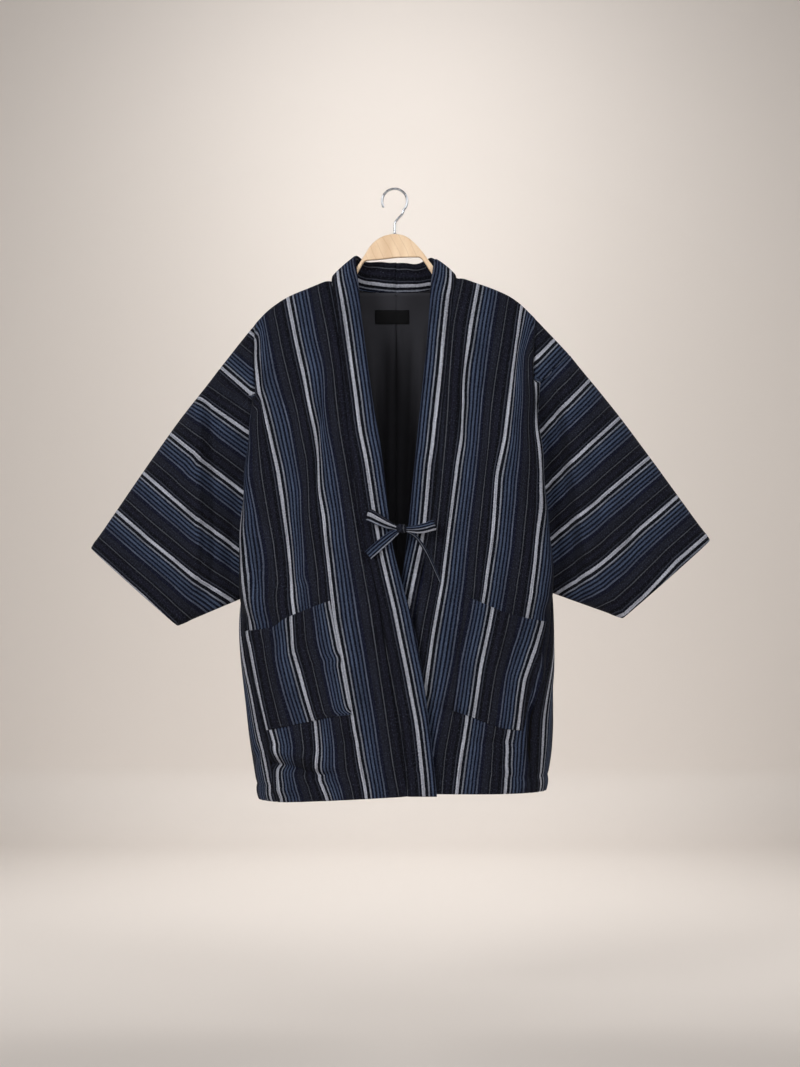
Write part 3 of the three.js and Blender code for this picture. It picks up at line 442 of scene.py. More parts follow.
class Net:
    """Short ways to add nodes."""

    def __init__(self, nt):
        self.nt = nt

    def add(self, kind, **inputs):
        n = self.nt.nodes.new(kind)
        for k, v in inputs.items():
            setattr(n, k, v)
        return n

    def put(self, sock, value):
        if isinstance(value, bpy.types.NodeSocket):
            self.nt.links.new(value, sock)
        else:
            sock.default_value = value

    def math(self, op, a, b=0.0, c=None):
        n = self.add("ShaderNodeMath", operation=op)
        self.put(n.inputs[0], a)
        self.put(n.inputs[1], b)
        if c is not None:
            self.put(n.inputs[2], c)
        return n.outputs[0]

    def vec(self, x, y, z=0.0):
        n = self.add("ShaderNodeCombineXYZ")
        for s, v in zip(n.inputs, (x, y, z)):
            self.put(s, v)
        return n.outputs[0]

    def noise(self, vector, scale, detail=2.0, rough=0.5):
        n = self.add("ShaderNodeTexNoise")
        self.put(n.inputs["Vector"], vector)
        n.inputs["Scale"].default_value = scale
        n.inputs["Detail"].default_value = detail
        n.inputs["Roughness"].default_value = rough
        return n.outputs["Fac"]

    def remap(self, v, a, b, c, d):
        n = self.add("ShaderNodeMapRange")
        self.put(n.inputs[0], v)
        for s, x in zip(n.inputs[1:5], (a, b, c, d)):
            s.default_value = x
        return n.outputs[0]

    def scale(self, colour, f):
        n = self.add("ShaderNodeVectorMath", operation="SCALE")
        self.put(n.inputs[0], colour)
        self.put(n.inputs["Scale"], f)
        return n.outputs[0]

    def blend(self, f, a, b):
        n = self.add("ShaderNodeMix", data_type="RGBA")
        self.put(n.inputs[0], f)
        self.put(n.inputs[6], a)
        self.put(n.inputs[7], b)
        return n.outputs[2]

    def cloth(self):
        uv = self.add("ShaderNodeUVMap", uv_map="cloth")
        s = self.add("ShaderNodeSeparateXYZ")
        self.put(s.inputs[0], uv.outputs[0])
        return s.outputs[0], s.outputs[1]

    def bump(self, height, distance, strength=1.0, normal=None):
        n = self.add("ShaderNodeBump")
        n.inputs["Strength"].default_value = strength
        n.inputs["Distance"].default_value = distance
        self.put(n.inputs["Height"], height)
        if normal is not None:
            self.put(n.inputs["Normal"], normal)
        return n.outputs[0]


def srgb(r, g, b):
    f = lambda c: c / 12.92 if c <= 0.04045 else ((c + 0.055) / 1.055) ** 2.4
    return (f(r / 255), f(g / 255), f(b / 255), 1.0)


# One repeat of the warp, from the middle of a wide pale stripe: where each
# band ends, in mm, and its colour.
PALE, THIN, LIGHT = srgb(150, 152, 162), srgb(108, 112, 123), srgb(68, 74, 90)
GREY, FAINT = srgb(64, 66, 72), srgb(46, 48, 57)
BLUE1, BLUE2, BLUE3 = srgb(60, 70, 90), srgb(58, 68, 88), srgb(50, 59, 79)
INK, DEEP, DUSK = srgb(6, 7, 13), srgb(8, 12, 26), srgb(10, 11, 19)
NAVY, CHARCOAL, SHADE = srgb(11, 14, 29), srgb(23, 25, 34), srgb(18, 19, 29)
WARP = [
    (2.45, PALE), (7.1, INK), (9.3, THIN), (12.3, DEEP), (14.9, BLUE1), (17.9, DEEP), (20.5, BLUE2),
    (23.5, DEEP), (26.0, BLUE3), (28.9, DEEP), (31.0, LIGHT), (36.5, NAVY), (46.0, CHARCOAL), (48.5, DUSK),
    (49.9, GREY), (54.0, DUSK), (61.0, SHADE), (65.4, INK), (67.3, FAINT), (70.35, DUSK), (72.75, PALE),
]


def striped_cotton():
    m, nt, b = nodes_of("striped_cotton")
    t = Net(nt)
    u, v = t.cloth()
    um, vm = t.math("MULTIPLY", u, 1000), t.math("MULTIPLY", v, 1000)      # mm
    # the edge of a stripe wanders by part of a yarn
    wander = t.noise(t.vec(um, t.math("MULTIPLY", vm, 0.35)), 0.9, 2.0)
    um2 = t.math("ADD", um, t.remap(wander, 0.25, 0.75, -0.28, 0.28))
    place = t.math("FRACT", t.math("DIVIDE", um2, REPEAT))
    ramp = t.add("ShaderNodeValToRGB")
    t.put(ramp.inputs[0], place)
    cr = ramp.color_ramp
    cr.interpolation = "CONSTANT"
    start = 0.0
    for i, (end, colour) in enumerate(WARP):
        e = cr.elements[i] if i < 2 else cr.elements.new(start / REPEAT)
        e.position = start / REPEAT
        e.color = colour
        start = end
    base = ramp.outputs[0]
    # heathered yarns: streaks along the warp, flecks of the weft, soft wear
    streak = t.noise(t.vec(t.math("MULTIPLY", um, 1.0), t.math("MULTIPLY", vm, 0.03)), 0.40, 3.0, 0.7)
    fleck = t.noise(t.vec(t.math("MULTIPLY", um, 0.8), t.math("MULTIPLY", vm, 1.3)), 0.36, 4.0, 0.72)
    broad = t.noise(t.vec(um, vm), 0.012, 2.0)
    k = t.math("MULTIPLY", t.remap(streak, 0.3, 0.7, 0.5, 1.5), t.remap(fleck, 0.3, 0.7, 0.56, 1.44))
    k = t.math("MULTIPLY", k, t.remap(broad, 0.3, 0.7, 0.93, 1.07))
    # plain weave: warp ribs and the weft passing under them
    rib = t.math("SINE", t.math("MULTIPLY", um, 2 * math.pi / 0.78))
    pick = t.math("SINE", t.math("MULTIPLY", vm, 2 * math.pi / 0.9))
    weave = t.math("MULTIPLY", rib, pick)
    k = t.math("MULTIPLY", k, t.remap(weave, -1, 1, 0.93, 1.07))
    colour = t.scale(base, k)
    # weft yarn showing between the warp: light flecks on dark, dark on pale
    pepper = t.noise(t.vec(t.math("MULTIPLY", um, 1.0), t.math("MULTIPLY", vm, 0.7)), 0.5, 4.0, 0.8)
    colour = t.blend(t.remap(pepper, 0.53, 0.72, 0.0, 0.6), colour, srgb(72, 76, 92))
    # undyed nep fibres that catch the light
    nep = t.noise(t.vec(um, t.math("MULTIPLY", vm, 0.5)), 1.35, 1.0)
    colour = t.blend(t.remap(nep, 0.69, 0.78, 0.0, 0.3), colour, srgb(128, 130, 140))
    t.put(b.inputs["Base Color"], colour)
    t.put(b.inputs["Roughness"], t.remap(streak, 0.3, 0.7, 0.8, 0.95))
    b.inputs["Specular IOR Level"].default_value = 0.08
    b.inputs["Sheen Weight"].default_value = 0.015
    b.inputs["Sheen Roughness"].default_value = 0.5
    n1 = t.bump(t.math("ADD", t.math("MULTIPLY", weave, 0.5), t.math("MULTIPLY", rib, 0.5)), 0.00009, 0.6)
    n2 = t.bump(t.noise(t.vec(um, vm), 0.35, 3.0, 0.6), 0.00055, 0.45, n1)
    t.put(b.inputs["Normal"], n2)
    return m


def plain_cotton(name, colour, spread=0.12, bump=0.0004):
    m, nt, b = nodes_of(name)
    t = Net(nt)
    u, v = t.cloth()
    um, vm = t.math("MULTIPLY", u, 1000), t.math("MULTIPLY", v, 1000)
    fine = t.noise(t.vec(um, t.math("MULTIPLY", vm, 0.6)), 0.8, 3.0, 0.6)
    broad = t.noise(t.vec(um, vm), 0.02, 2.0)
    weave = t.math("MULTIPLY", t.math("SINE", t.math("MULTIPLY", um, 2 * math.pi / 0.55)),
                   t.math("SINE", t.math("MULTIPLY", vm, 2 * math.pi / 0.6)))
    k = t.math("MULTIPLY", t.remap(fine, 0.25, 0.75, 1 - spread, 1 + spread), t.remap(broad, 0.3, 0.7, 0.93, 1.07))
    k = t.math("MULTIPLY", k, t.remap(weave, -1, 1, 0.94, 1.06))
    n = t.add("ShaderNodeRGB")
    n.outputs[0].default_value = colour
    t.put(b.inputs["Base Color"], t.scale(n.outputs[0], k))
    t.put(b.inputs["Roughness"], t.remap(fine, 0.3, 0.7, 0.78, 0.92))
    b.inputs["Specular IOR Level"].default_value = 0.14
    b.inputs["Sheen Weight"].default_value = 0.04
    n1 = t.bump(weave, 0.00006, 0.6)
    t.put(b.inputs["Normal"], t.bump(t.noise(t.vec(um, vm), 0.3, 2.0), bump, 0.4, n1))
    return m


def beech():
    m, nt, b = nodes_of("beech")
    t = Net(nt)
    geo = t.add("ShaderNodeTexCoord")
    s = t.add("ShaderNodeSeparateXYZ")
    t.put(s.inputs[0], geo.outputs["Object"])
    x, y, z = s.outputs
    # grain runs along the arms and curls over the head
    lean = t.math("MULTIPLY", t.math("MULTIPLY", x, x), 9.0)
    warp = t.noise(t.vec(t.math("MULTIPLY", x, 14), t.math("MULTIPLY", y, 40), t.math("MULTIPLY", z, 14)), 1.0, 2.0)
    ring = t.math("ADD", t.math("ADD", t.math("MULTIPLY", x, 150.0), t.math("MULTIPLY", lean, 20.0)),
                  t.math("MULTIPLY", warp, 3.2))
    grain = t.math("SINE", t.math("ADD", t.math("MULTIPLY", ring, 2.4), t.math("MULTIPLY", z, 120.0)))
    grain = t.remap(grain, -1, 1, 0, 1)
    line = t.math("SINE", t.math("ADD", t.math("ADD", t.math("MULTIPLY", x, 520.0), t.math("MULTIPLY", z, 260.0)),
                                 t.math("MULTIPLY", warp, 9.0)))
    line = t.remap(line, 0.88, 1.0, 0, 0.3)
    pores = t.noise(t.vec(t.math("MULTIPLY", x, 2600), t.math("MULTIPLY", y, 2600), t.math("MULTIPLY", z, 220)), 1.0, 2.0)
    heart = t.noise(t.vec(t.math("MULTIPLY", x, 26), 0.0, t.math("MULTIPLY", z, 7)), 1.0, 2.0)
    c = t.blend(grain, srgb(243, 215, 181), srgb(237, 206, 170))
    c = t.blend(t.remap(heart, 0.45, 0.7, 0, 0.45), c, srgb(207, 168, 128))
    c = t.blend(line, c, srgb(196, 154, 112))
    c = t.blend(t.remap(pores, 0.58, 0.75, 0, 0.25), c, srgb(172, 132, 92))
    t.put(b.inputs["Base Color"], c)
    t.put(b.inputs["Roughness"], t.remap(grain, 0, 1, 0.36, 0.46))
    b.inputs["Specular IOR Level"].default_value = 0.45
    b.inputs["Coat Weight"].default_value = 0.15
    b.inputs["Coat Roughness"].default_value = 0.3
    t.put(b.inputs["Normal"], t.bump(t.math("ADD", t.math("MULTIPLY", pores, 0.5), t.math("MULTIPLY", grain, 0.25)), 0.00012, 0.5))
    return m


def bright_steel():
    m, nt, b = nodes_of("bright_steel")
    t = Net(nt)
    geo = t.add("ShaderNodeTexCoord")
    draw = t.noise(geo.outputs["Object"], 900.0, 2.0)
    smear = t.noise(geo.outputs["Object"], 45.0, 3.0)
    c = t.blend(smear, srgb(196, 198, 202), srgb(172, 174, 180))
    t.put(b.inputs["Base Color"], c)
    b.inputs["Metallic"].default_value = 1.0
    t.put(b.inputs["Roughness"], t.remap(smear, 0.3, 0.7, 0.2, 0.34))
    t.put(b.inputs["Normal"], t.bump(draw, 0.00003, 0.4))
    return m


STRIPED = striped_cotton()
INSIDE = plain_cotton("charcoal_cotton", srgb(40, 40, 43))
SATEEN = plain_cotton("lining_sateen", srgb(52, 52, 57), 0.08, 0.0002)
BLACK = plain_cotton("black_tape", srgb(15, 15, 17), 0.2, 0.0002)
WOOD = beech()
STEEL = bright_steel()
OUTER = [STRIPED, INSIDE]


# ------------------------------------------------------------------ the form
class Half:
    def __init__(self, t):
        self.t = t
        self.name = "left" if t["sign"] < 0 else "right"
        for k in ("sign", "neckX", "neckZ", "sideTop", "hemSeam", "hemSide", "lap", "foldIn"):
            setattr(self, k, float(t[k]))
        for k in ("armTop", "armLow", "cuffTop", "cuffLow"):
            setattr(self, k, np.array(t[k], float))
        self.seam_x = Curve(t["seam"], "z", "x")
        self.fold_x = Curve(t["fold"], "z", "x")
        self.side_x = Curve(t["side"], "z", "x")
        self.gusset_x = Curve(t["gusset"], "z", "x")
        self.shoulder_z = Curve(t["shoulder"], "x", "z")
        self.nape_z = Curve(t["nape"], "sx", "sz")
        self.nape_y = Curve(t["nape"], "sx", "sy")
        self.nape = t["nape"]

    def level(self, k):
        return self.sideTop - ROWS[self.name][k]


LEFT, RIGHT = Half(HALF["left"]), Half(HALF["right"])
front_fall = Curve(FRONT_FALL, "drop", "deep")
back_fall = Curve(BACK_FALL, "drop", "deep")
side_fall = Curve(SIDE_FALL, "drop", "deep")
arm_fall = Curve(ARM_FALL, "row", "deep")
band_rise = Curve(BAND_RISE, "drop", "rise")
band_share = Curve(BAND_RISE, "drop", "share")


def across(h, x, z, deep):
    r = np.clip(np.abs(x / h.side_x(z)), 0, 1)
    s = side_fall(h.sideTop - z)
    return s + (deep - s) * (1 - r**FLATNESS) ** (1 / FLATNESS)


def front_y(h, x, z):
    drop = h.shoulder_z(np.abs(x)) - z
    near = 1 - smooth(20, 130, h.sign * x)
    return -across(h, x, z, front_fall(drop)) + h.lap * near * smooth(230, 420, drop)


def back_y(h, x, z):
    in_neck = np.abs(x) < abs(h.neckX)
    top = np.where(in_neck, h.nape_z(x), h.shoulder_z(np.abs(x)))
    start = np.where(in_neck, h.nape_y(x), 3.8)
    drop = np.maximum(0, top - z)
    f = np.clip(drop / 320, 0, 1)
    return across(h, x, z, start * (1 - f) + 3.8 * f + back_fall(drop))


def outer_edge(h, k, way):
    z = float(h.level(k))
    if k <= ARM_ROW:
        f = (h.sideTop - z - 0.8) / (h.sideTop - h.level(ARM_ROW) - 0.8)
        deep = -2.7 if k == 0 else float(arm_fall(k))
        return np.array([mix(h.armTop[0], h.armLow[0], f), way * deep, mix(h.armTop[1], h.armLow[1], f)])
    if k <= UNDERARM_ROW:
        return np.array([float(h.side_x(z)) - h.sign * 0.5, way * float(arm_fall(k)), z])
    if k == HEM_ROW:
        z = h.hemSide
    x = float(h.gusset_x(z))
    return np.array([x, float(front_y(h, x, z) if way < 0 else back_y(h, x, z)), z])


def panel_row(h, k, way, inner, shares, wing, top, depth):
    zs = h.hemSide if k == HEM_ROW else float(h.level(k))
    below = k > UNDERARM_ROW
    xs = float(h.gusset_x(zs)) * GUSSET_INNER if below else float(h.side_x(zs))
    fade = 1 - smooth(60, 330, ROWS["seam"][k])
    x = mix(inner[0], xs, shares)
    bend = top(x) - mix(top(np.array(inner[0])), top(np.array(xs)), shares)
    z = mix(inner[2], zs, shares) + bend * fade
    main = np.stack([x, depth(x, z), z], -1)
    end = outer_edge(h, k, way)
    last = main[-1]
    w = last + (end - last) * wing[:, None]
    if below:
        w[:-1, 1] = depth(w[:-1, 0], w[:-1, 2])
    return np.concatenate([main, w])


SHARES = np.concatenate([[0, 0.005, 0.012, 0.021, 0.032], np.linspace(0.048, 0.965, 46), [0.978, 0.99, 1.0]])
WING = np.linspace(0, 1, 15)[1:]
FOLD_COL = len(SHARES) - 1


def soften(g, centre, half, passes):
    """Round a sharp fold that runs down a grid at one column."""
    a, b = max(1, centre - half), min(g.shape[1] - 1, centre + half)
    for _ in range(passes):
        c = g.copy()
        c[:, a:b] = 0.25 * g[:, a - 1:b - 1] + 0.5 * g[:, a:b] + 0.25 * g[:, a + 1:b + 1]
        g = c
    return g


def front_grid(h):
    rows = []
    for k in range(HEM_ROW + 1):
        z = h.hemSeam if k == HEM_ROW else h.neckZ - ROWS["seam"][k]
        flip = -0.7 if k == 0 else 1.0
        rows.append(panel_row(h, k, -1, (float(h.seam_x(z)), 0, z), SHARES, WING,
                              lambda q: h.shoulder_z(np.abs(q)), lambda q, w: flip * front_y(h, q, w)))
    g = np.stack(rows)
    t = chord(g, 0)
    g = resample(g, t, spaced(t[-1], STEP, False, True))
    return soften(g, FOLD_COL, 9, 5)


def back_grid(h):
    cb_x, cb_z = h.nape["sx"][-1], h.nape["sz"][-1]
    side0 = float(h.side_x(0))
    nape = (h.nape["sx"][::-1] - cb_x) / (side0 - cb_x)
    shares = np.unique(np.concatenate([np.linspace(0, 1, 58), nape, [0.004, 0.009]]))
    keep = {round(float(s), 9): i for i, s in enumerate(nape)}

    def line(x):
        return np.where((np.abs(x) < abs(h.neckX)) & (x * h.sign > 0), h.nape_z(x), h.shoulder_z(np.abs(x)) - 0.8)

    rows = []
    for k in range(HEM_ROW + 1):
        if k == 1:
            continue
        z = -905.0 if k == HEM_ROW else cb_z - (0 if k == 0 else ROWS["seam"][k] * 0.985)
        row = panel_row(h, k, 1, (cb_x, 0, z), shares, WING, line, lambda q, w: back_y(h, q, w))
        if k == 0:
            n = len(shares)
            x = row[:n, 0]
            neck = np.abs(x) <= abs(h.neckX) + 1e-6
            row[:n, 1] = np.where(neck, h.nape_y(x), 4.2)
            row[:n, 2] = np.where(neck, h.nape_z(x), np.minimum(row[:n, 2], h.shoulder_z(np.abs(x)) - 0.8))
            e = outer_edge(h, 1, 1)
            e = np.array([e[0], 4.2, e[2]])
            row[n:] = row[n - 1] + (e - row[n - 1]) * WING[:, None]
        rows.append(row)
    g = np.stack(rows)
    t = chord(g, 0)
    g = resample(g, t, spaced(t[-1], STEP, False, True))
    return soften(g, len(shares) - 1, 8, 5), len(shares) - 1


def gusset_grid(h):
    rows = []
    for k in range(UNDERARM_ROW, HEM_ROW + 1):
        a, b = outer_edge(h, k, -1), outer_edge(h, k, 1)
        z = a[2]
        sx = float(h.side_x(z))
        t = np.linspace(0, 1, 27)
        y = mix(a[1], b[1], t)
        deep = np.where(y < 0, -a[1], b[1])
        out = np.sqrt(np.maximum(0, 1 - (y / (deep * 1.12)) ** 2))
        end = math.sqrt(1 - 1 / 1.12**2)
        rows.append(np.stack([mix(a[0], sx, (out - end) / (1 - end)), y, np.full_like(y, z)], -1))
    g = np.stack(rows)
    for i in (0, 1):                               # narrow top, under the sleeve
        m = g[i].mean(axis=0)
        g[i] = m + (g[i] - m) * 0.9
    t = chord(g, 0)
    g = resample(g, t, spaced(t[-1], STEP, False, True))
    return g


def collar_grid(h):
    seam, fold = [], []
    for k in range(HEM_ROW, RIDGE_ROW - 1, -1):
        s = ROWS["seam"][k]
        z = h.hemSeam if k == HEM_ROW else h.neckZ - s
        x = float(h.seam_x(z))
        y = float(front_y(h, x, z))
        fz = z + float(band_rise(s)) - (6.5 if h.sign > 0 else 0) * (1 - smooth(20, 60, s))
        fx = float(h.fold_x(fz))
        turned = h.foldIn * smooth(60, 200, s)
        if h.sign > 0:
            turned += 8 * smooth(120, 260, s) * (1 - smooth(420, 520, s))
        flat = mix(y * float(band_share(s)), float(front_y(h, fx, z)), smooth(60, 200, s))
        seam.append((x, y, z))
        fold.append((fx, flat + turned, fz))
    n = h.nape
    for i in range(len(n["sx"])):
        seam.append((n["sx"][i], n["sy"][i], n["sz"][i]))
        drop = (3.5, 1.5, 0, 0, 0)[i] if h.sign > 0 else 0
        fold.append((n["fx"][i], n["fy"][i], n["fz"][i] - drop))
    seam, fold = np.array(seam), np.array(fold)
    s = np.array([0, 0.02, 0.05, 0.1] + list(np.linspace(0.16, 0.86, 12)) + [0.91, 0.95, 0.975, 0.99, 1.0])
    g = seam[:, None] + (fold - seam)[:, None] * s[None, :, None]
    t = chord(g, 0)
    return resample(g, t, spaced(t[-1], STEP, True, False))


def sleeve_grid(h):
    out = unit(np.array([h.cuffTop[0] - h.armTop[0], 0, h.cuffTop[1] - h.armTop[1]]))
    top_n = np.array([-out[2] * h.sign, 0, out[0] * h.sign])
    if top_n[2] < 0:
        top_n = -top_n
    rows = [(k, -1) for k in range(RIDGE_ROW, UNDERARM_ROW + 1)] + [("under", 0)]
    rows += [(k, 1) for k in range(UNDERARM_ROW, RIDGE_ROW - 1, -1)]
    under = float(h.level(UNDERARM_ROW)) + 4.2
    inset = CAD_CLOTH + CAD_SEAM + 2.0
    base = []
    for k, way in rows:
        if k == "under":
            base.append(np.array([float(h.side_x(under)) - h.sign * LAP, 0, under]))
            continue
        e = outer_edge(h, k, way)
        if k <= ARM_ROW:
            # edge to edge with the body's cloth, and in under it near the fold
            f = float(smooth(4.5, ARM_ROW, k))
            deep_in = out * (LAP * f + 1.8 * (1 - f)) + top_n * inset * 0.35 * f
            e = e - deep_in
            e[1] -= way * inset * f
        else:
            e[0] -= h.sign * (LAP - 0.5)
            e[1] -= way * inset
            if k == UNDERARM_ROW:
                e[2] = under + 3
        base.append(e)
    base = np.array(base)
    half = RIDGE_ROW - 1 + UNDERARM_ROW
    ln = np.concatenate([[0], np.cumsum(np.linalg.norm(np.diff(base[:half + 1], axis=0), axis=1))])
    ln /= ln[-1]
    share = np.array([ln[j] if j <= half else ln[len(rows) - 1 - j] for j in range(len(rows))])
    way = np.array([w for _, w in rows], float)

    def round_(f):
        return (1 - np.abs(2 * np.clip(f * 0.985 + 0.008, 0, 1) - 1) ** 2.6) ** (1 / 2.6)

    deep, rise = Curve(SLEEVE, "m", "deep"), Curve(SLEEVE, "m", "rise")
    # finer round the tube first, so that the fold at the top stays a fold
    ms = np.concatenate([[0, 0.02], np.linspace(0.05, 1, 20)])
    rings = []
    for m in ms:
        cuff = np.stack([mix(h.cuffTop[0], h.cuffLow[0], share), way * CUFF_DEEP * round_(share),
                         mix(h.cuffTop[1], h.cuffLow[1], share)], -1)
        p = base + (cuff - base) * m
        p[:, 1] += way * float(deep(m)) * round_(share)
        p += top_n * (float(rise(m)) * (1 - share) ** 2)[:, None]
        rings.append(p)
    g = np.stack(rings)
    t = chord(g, 0)
    g = resample(g, t, spaced(t[-1], STEP, False, True))
    # round the tube, closed
    closed = np.concatenate([g, g[:, :1]], 1)
    t = chord(closed, 1)
    q = np.linspace(0, t[-1], int(t[-1] / 4.2) + 1)[:-1]
    a = np.concatenate([closed[:, -4:-1], closed, closed[:, 1:4]], 1)
    ta = np.concatenate([t[-4:-1] - t[-1], t, t[-1] + t[1:4]])
    g = resample(a.transpose(1, 0, 2), ta, q).transpose(1, 0, 2)
    for _ in range(2):
        g = 0.25 * np.roll(g, 1, 1) + 0.5 * g + 0.25 * np.roll(g, -1, 1)
    return g


# ------------------------------------------------------------------ stripes
# Where the wide pale stripes (whole numbers), the light line 0.42 and the grey
# line 0.69 of a repeat after one lie, in picture positions.
FRONT_LINES = {
    "left": {
        0: [(221, 367.4), (232, 377), (254, 396.4), (243, 470), (241.8, 533), (242.7, 568), (245, 592),
            (251, 630), (259, 680), (271.4, 731), (277, 750), (278.6, 760), (276.4, 775.6), (282, 797)],
        0.425: [(232.7, 352.8), (250, 366), (250.5, 420), (250, 476.9), (253.8, 501.7), (258.6, 525.7),
                (263.4, 547.7), (264.8, 564)],
        0.691: [(242.6, 342.8), (255.6, 355), (257, 400), (257.7, 430), (264.3, 483.6), (269.1, 516),
                (274.4, 542.9), (278.7, 580)],
        1: [(249.5, 332), (257, 340.5), (256.3, 361), (256.7, 376), (257.4, 390), (262.4, 404), (269.4, 430),
            (277.7, 468), (283.5, 506.5), (286.8, 535), (289.2, 554), (291.5, 577), (293, 604), (300, 650),
            (309, 700), (316, 721), (317.8, 750.7), (315.8, 772), (327.8, 797)],
        1.425: [(264.8, 317.3), (269.1, 342.2), (275.4, 371), (279.7, 390), (286.4, 412), (291, 430),
                (301.7, 491), (302.6, 526), (304.5, 573.5)],
        1.691: [(274.9, 308.7), (281.6, 345), (290.2, 380.4), (297.8, 411), (301.7, 430), (307.4, 458.7),
                (308.8, 483.6), (309.8, 516), (313.1, 539), (318.9, 577.3)],
        2: [(287.9, 299), (295.9, 339.3), (303.6, 375.7), (309.3, 404.4), (314, 430), (317, 458.7), (318, 487.4),
            (323.7, 516), (325.6, 539), (329.4, 573.5), (334.7, 620), (342.7, 659.5), (352, 714), (359.3, 759),
            (366.2, 796)],
        2.425: [(307.4, 289), (316, 336.4), (323.2, 366), (324.6, 380.4), (324.4, 399.6), (328.4, 430),
                (337.4, 477), (345, 530)],
        2.691: [(318.4, 284.8), (326.5, 326), (333.2, 366), (337.5, 406.3), (340.4, 430), (349.8, 488),
                (358.3, 540), (369.9, 603), (379, 666), (386.5, 714), (393.1, 760.5), (398.9, 795.3)],
    },
    "right": {
        0.691: [(463.3, 283), (455.1, 321), (451, 372), (449, 407.6), (446.4, 440), (441.5, 500), (437, 540), (433, 581),
                (424.5, 623), (419, 656)],
        1: [(477.6, 286), (470.4, 326), (465.3, 361.6), (463.3, 388), (463.8, 402.4), (461.2, 440),
            (456.6, 466), (449.6, 521), (444.5, 561.6), (442, 581.5), (434.5, 623), (429.6, 656), (425.4, 689)],
        1.425: [(496.9, 293.3), (491.8, 324), (486.7, 361.6), (481.6, 397.3), (478.6, 440), (474, 485),
                (467.7, 540), (463.6, 581.5), (459.4, 614.6), (451.1, 666), (442.8, 705.8), (434.5, 747.3)],
        1.691: [(508.7, 298.4), (502, 341.2), (495.9, 377), (491.8, 407.6), (489.3, 440), (484, 490),
                (478.5, 540), (476, 573), (474.3, 596.4), (464, 660), (452.8, 715.8), (446.1, 752.2), (442.8, 792)],
        2: [(521.4, 305.5), (516.3, 341.2), (512.2, 377), (508.2, 407.6), (504.1, 440), (496.7, 474),
            (491.7, 540), (488.4, 561.6), (482.6, 601.3), (474, 668), (466.9, 719), (461, 755.6), (456.1, 793.7)],
        3: [(555.1, 339.2), (544, 350), (533.7, 362), (535.5, 400), (537, 430), (541.6, 476.5), (541.6, 505),
            (535.7, 556.7), (528.6, 604), (519, 670), (508.6, 731), (506, 767), (503.7, 792)],
    },
}
COLLAR_LINES = {
    "left": {0: [(339, 280), (345.7, 326), (351.4, 366), (356.2, 399.6), (360, 430), (366.6, 462), (373.7, 509.6),
                 (381.5, 555), (394.7, 611.3), (406.3, 669.3), (416.3, 722.4), (422.1, 772), (423.8, 795.3)]},
    "right": {0: [(450, 280), (444.9, 331), (440.8, 371.8), (437.8, 402.4), (434.2, 440), (430.7, 462), (427, 505),
                  (422.9, 548.3), (416.3, 573.2), (411.3, 606.3), (403, 660), (395, 714), (381, 795)]},
}
SLEEVE_LINES = {
    "left": [
        (1, [(188, 398), (199, 398.6), (203, 401), (244.7, 429.5)]),
        (2, [(171.1, 434.2), (195, 453.4), (200.5, 460.5), (242.8, 491.6)]),
        (3, [(143.3, 472.5), (173, 498.3), (199.8, 521.3), (240.9, 551)]),
        (4, [(117.5, 511.7), (148.1, 538.5), (199.8, 580.6), (238, 603.5)]),
        (5, [(91.1, 550), (142.4, 595), (174.9, 626.5)]),
    ],
    "right": [
        (0, [(587.9, 381.6), (579, 391.5), (540.5, 430.7)]),
        (1, [(616.8, 420), (591.4, 443), (566, 467.5), (545.8, 486.8)]),
        (2, [(648.4, 457.8), (617.7, 483.3), (582.6, 513), (549.3, 539.4)]),
        (3, [(677.3, 496.4), (644, 525.3), (609, 557), (579, 579.7), (561.6, 590)]),
        (4, [(705.3, 536), (675.5, 562), (644, 595.5), (624.7, 613), (612.4, 617)]),
    ],
}
POCKET_LINES = {
    "left": {2: [(247.4, 633), (251.5, 653), (255.7, 676), (261.5, 706), (267.3, 730)],
             1: [(291.3, 618), (293, 650), (299.6, 673), (306, 696), (313.7, 721)],
             0: [(329.5, 603), (336, 634.6), (342.7, 668), (348.5, 701), (351.8, 714)]},
    "right": {1: [(492.6, 608), (489.3, 626.2), (481, 666), (476.8, 696), (473.5, 717.4)],
              0: [(542.6, 621), (536, 646), (524.4, 679), (521, 701), (517.8, 729)]},
}


def crossings(g, lines):
    """Running length along each row at which it crosses each line."""
    x, y = picture(g)
    s = run(g, 1)
    rows = np.arange(len(g))
    out = {}
    for n, pts in lines.items():
        p = np.array(pts, float)
        p = p[np.argsort(p[:, 1])]
        f = x - np.interp(y, p[:, 1], p[:, 0])
        ok = (y > p[0, 1] - 5) & (y < p[-1, 1] + 8)
        hit = (f[:, :-1] * f[:, 1:] <= 0) & (f[:, :-1] != f[:, 1:]) & ok[:, :-1]
        j = hit.argmax(1)
        a, b = f[rows, j], f[rows, j + 1]
        w = a / np.where(a == b, 1, a - b)
        out[n] = np.where(hit.any(1), s[rows, j] + (s[rows, j + 1] - s[rows, j]) * w, np.nan)
    return s, out


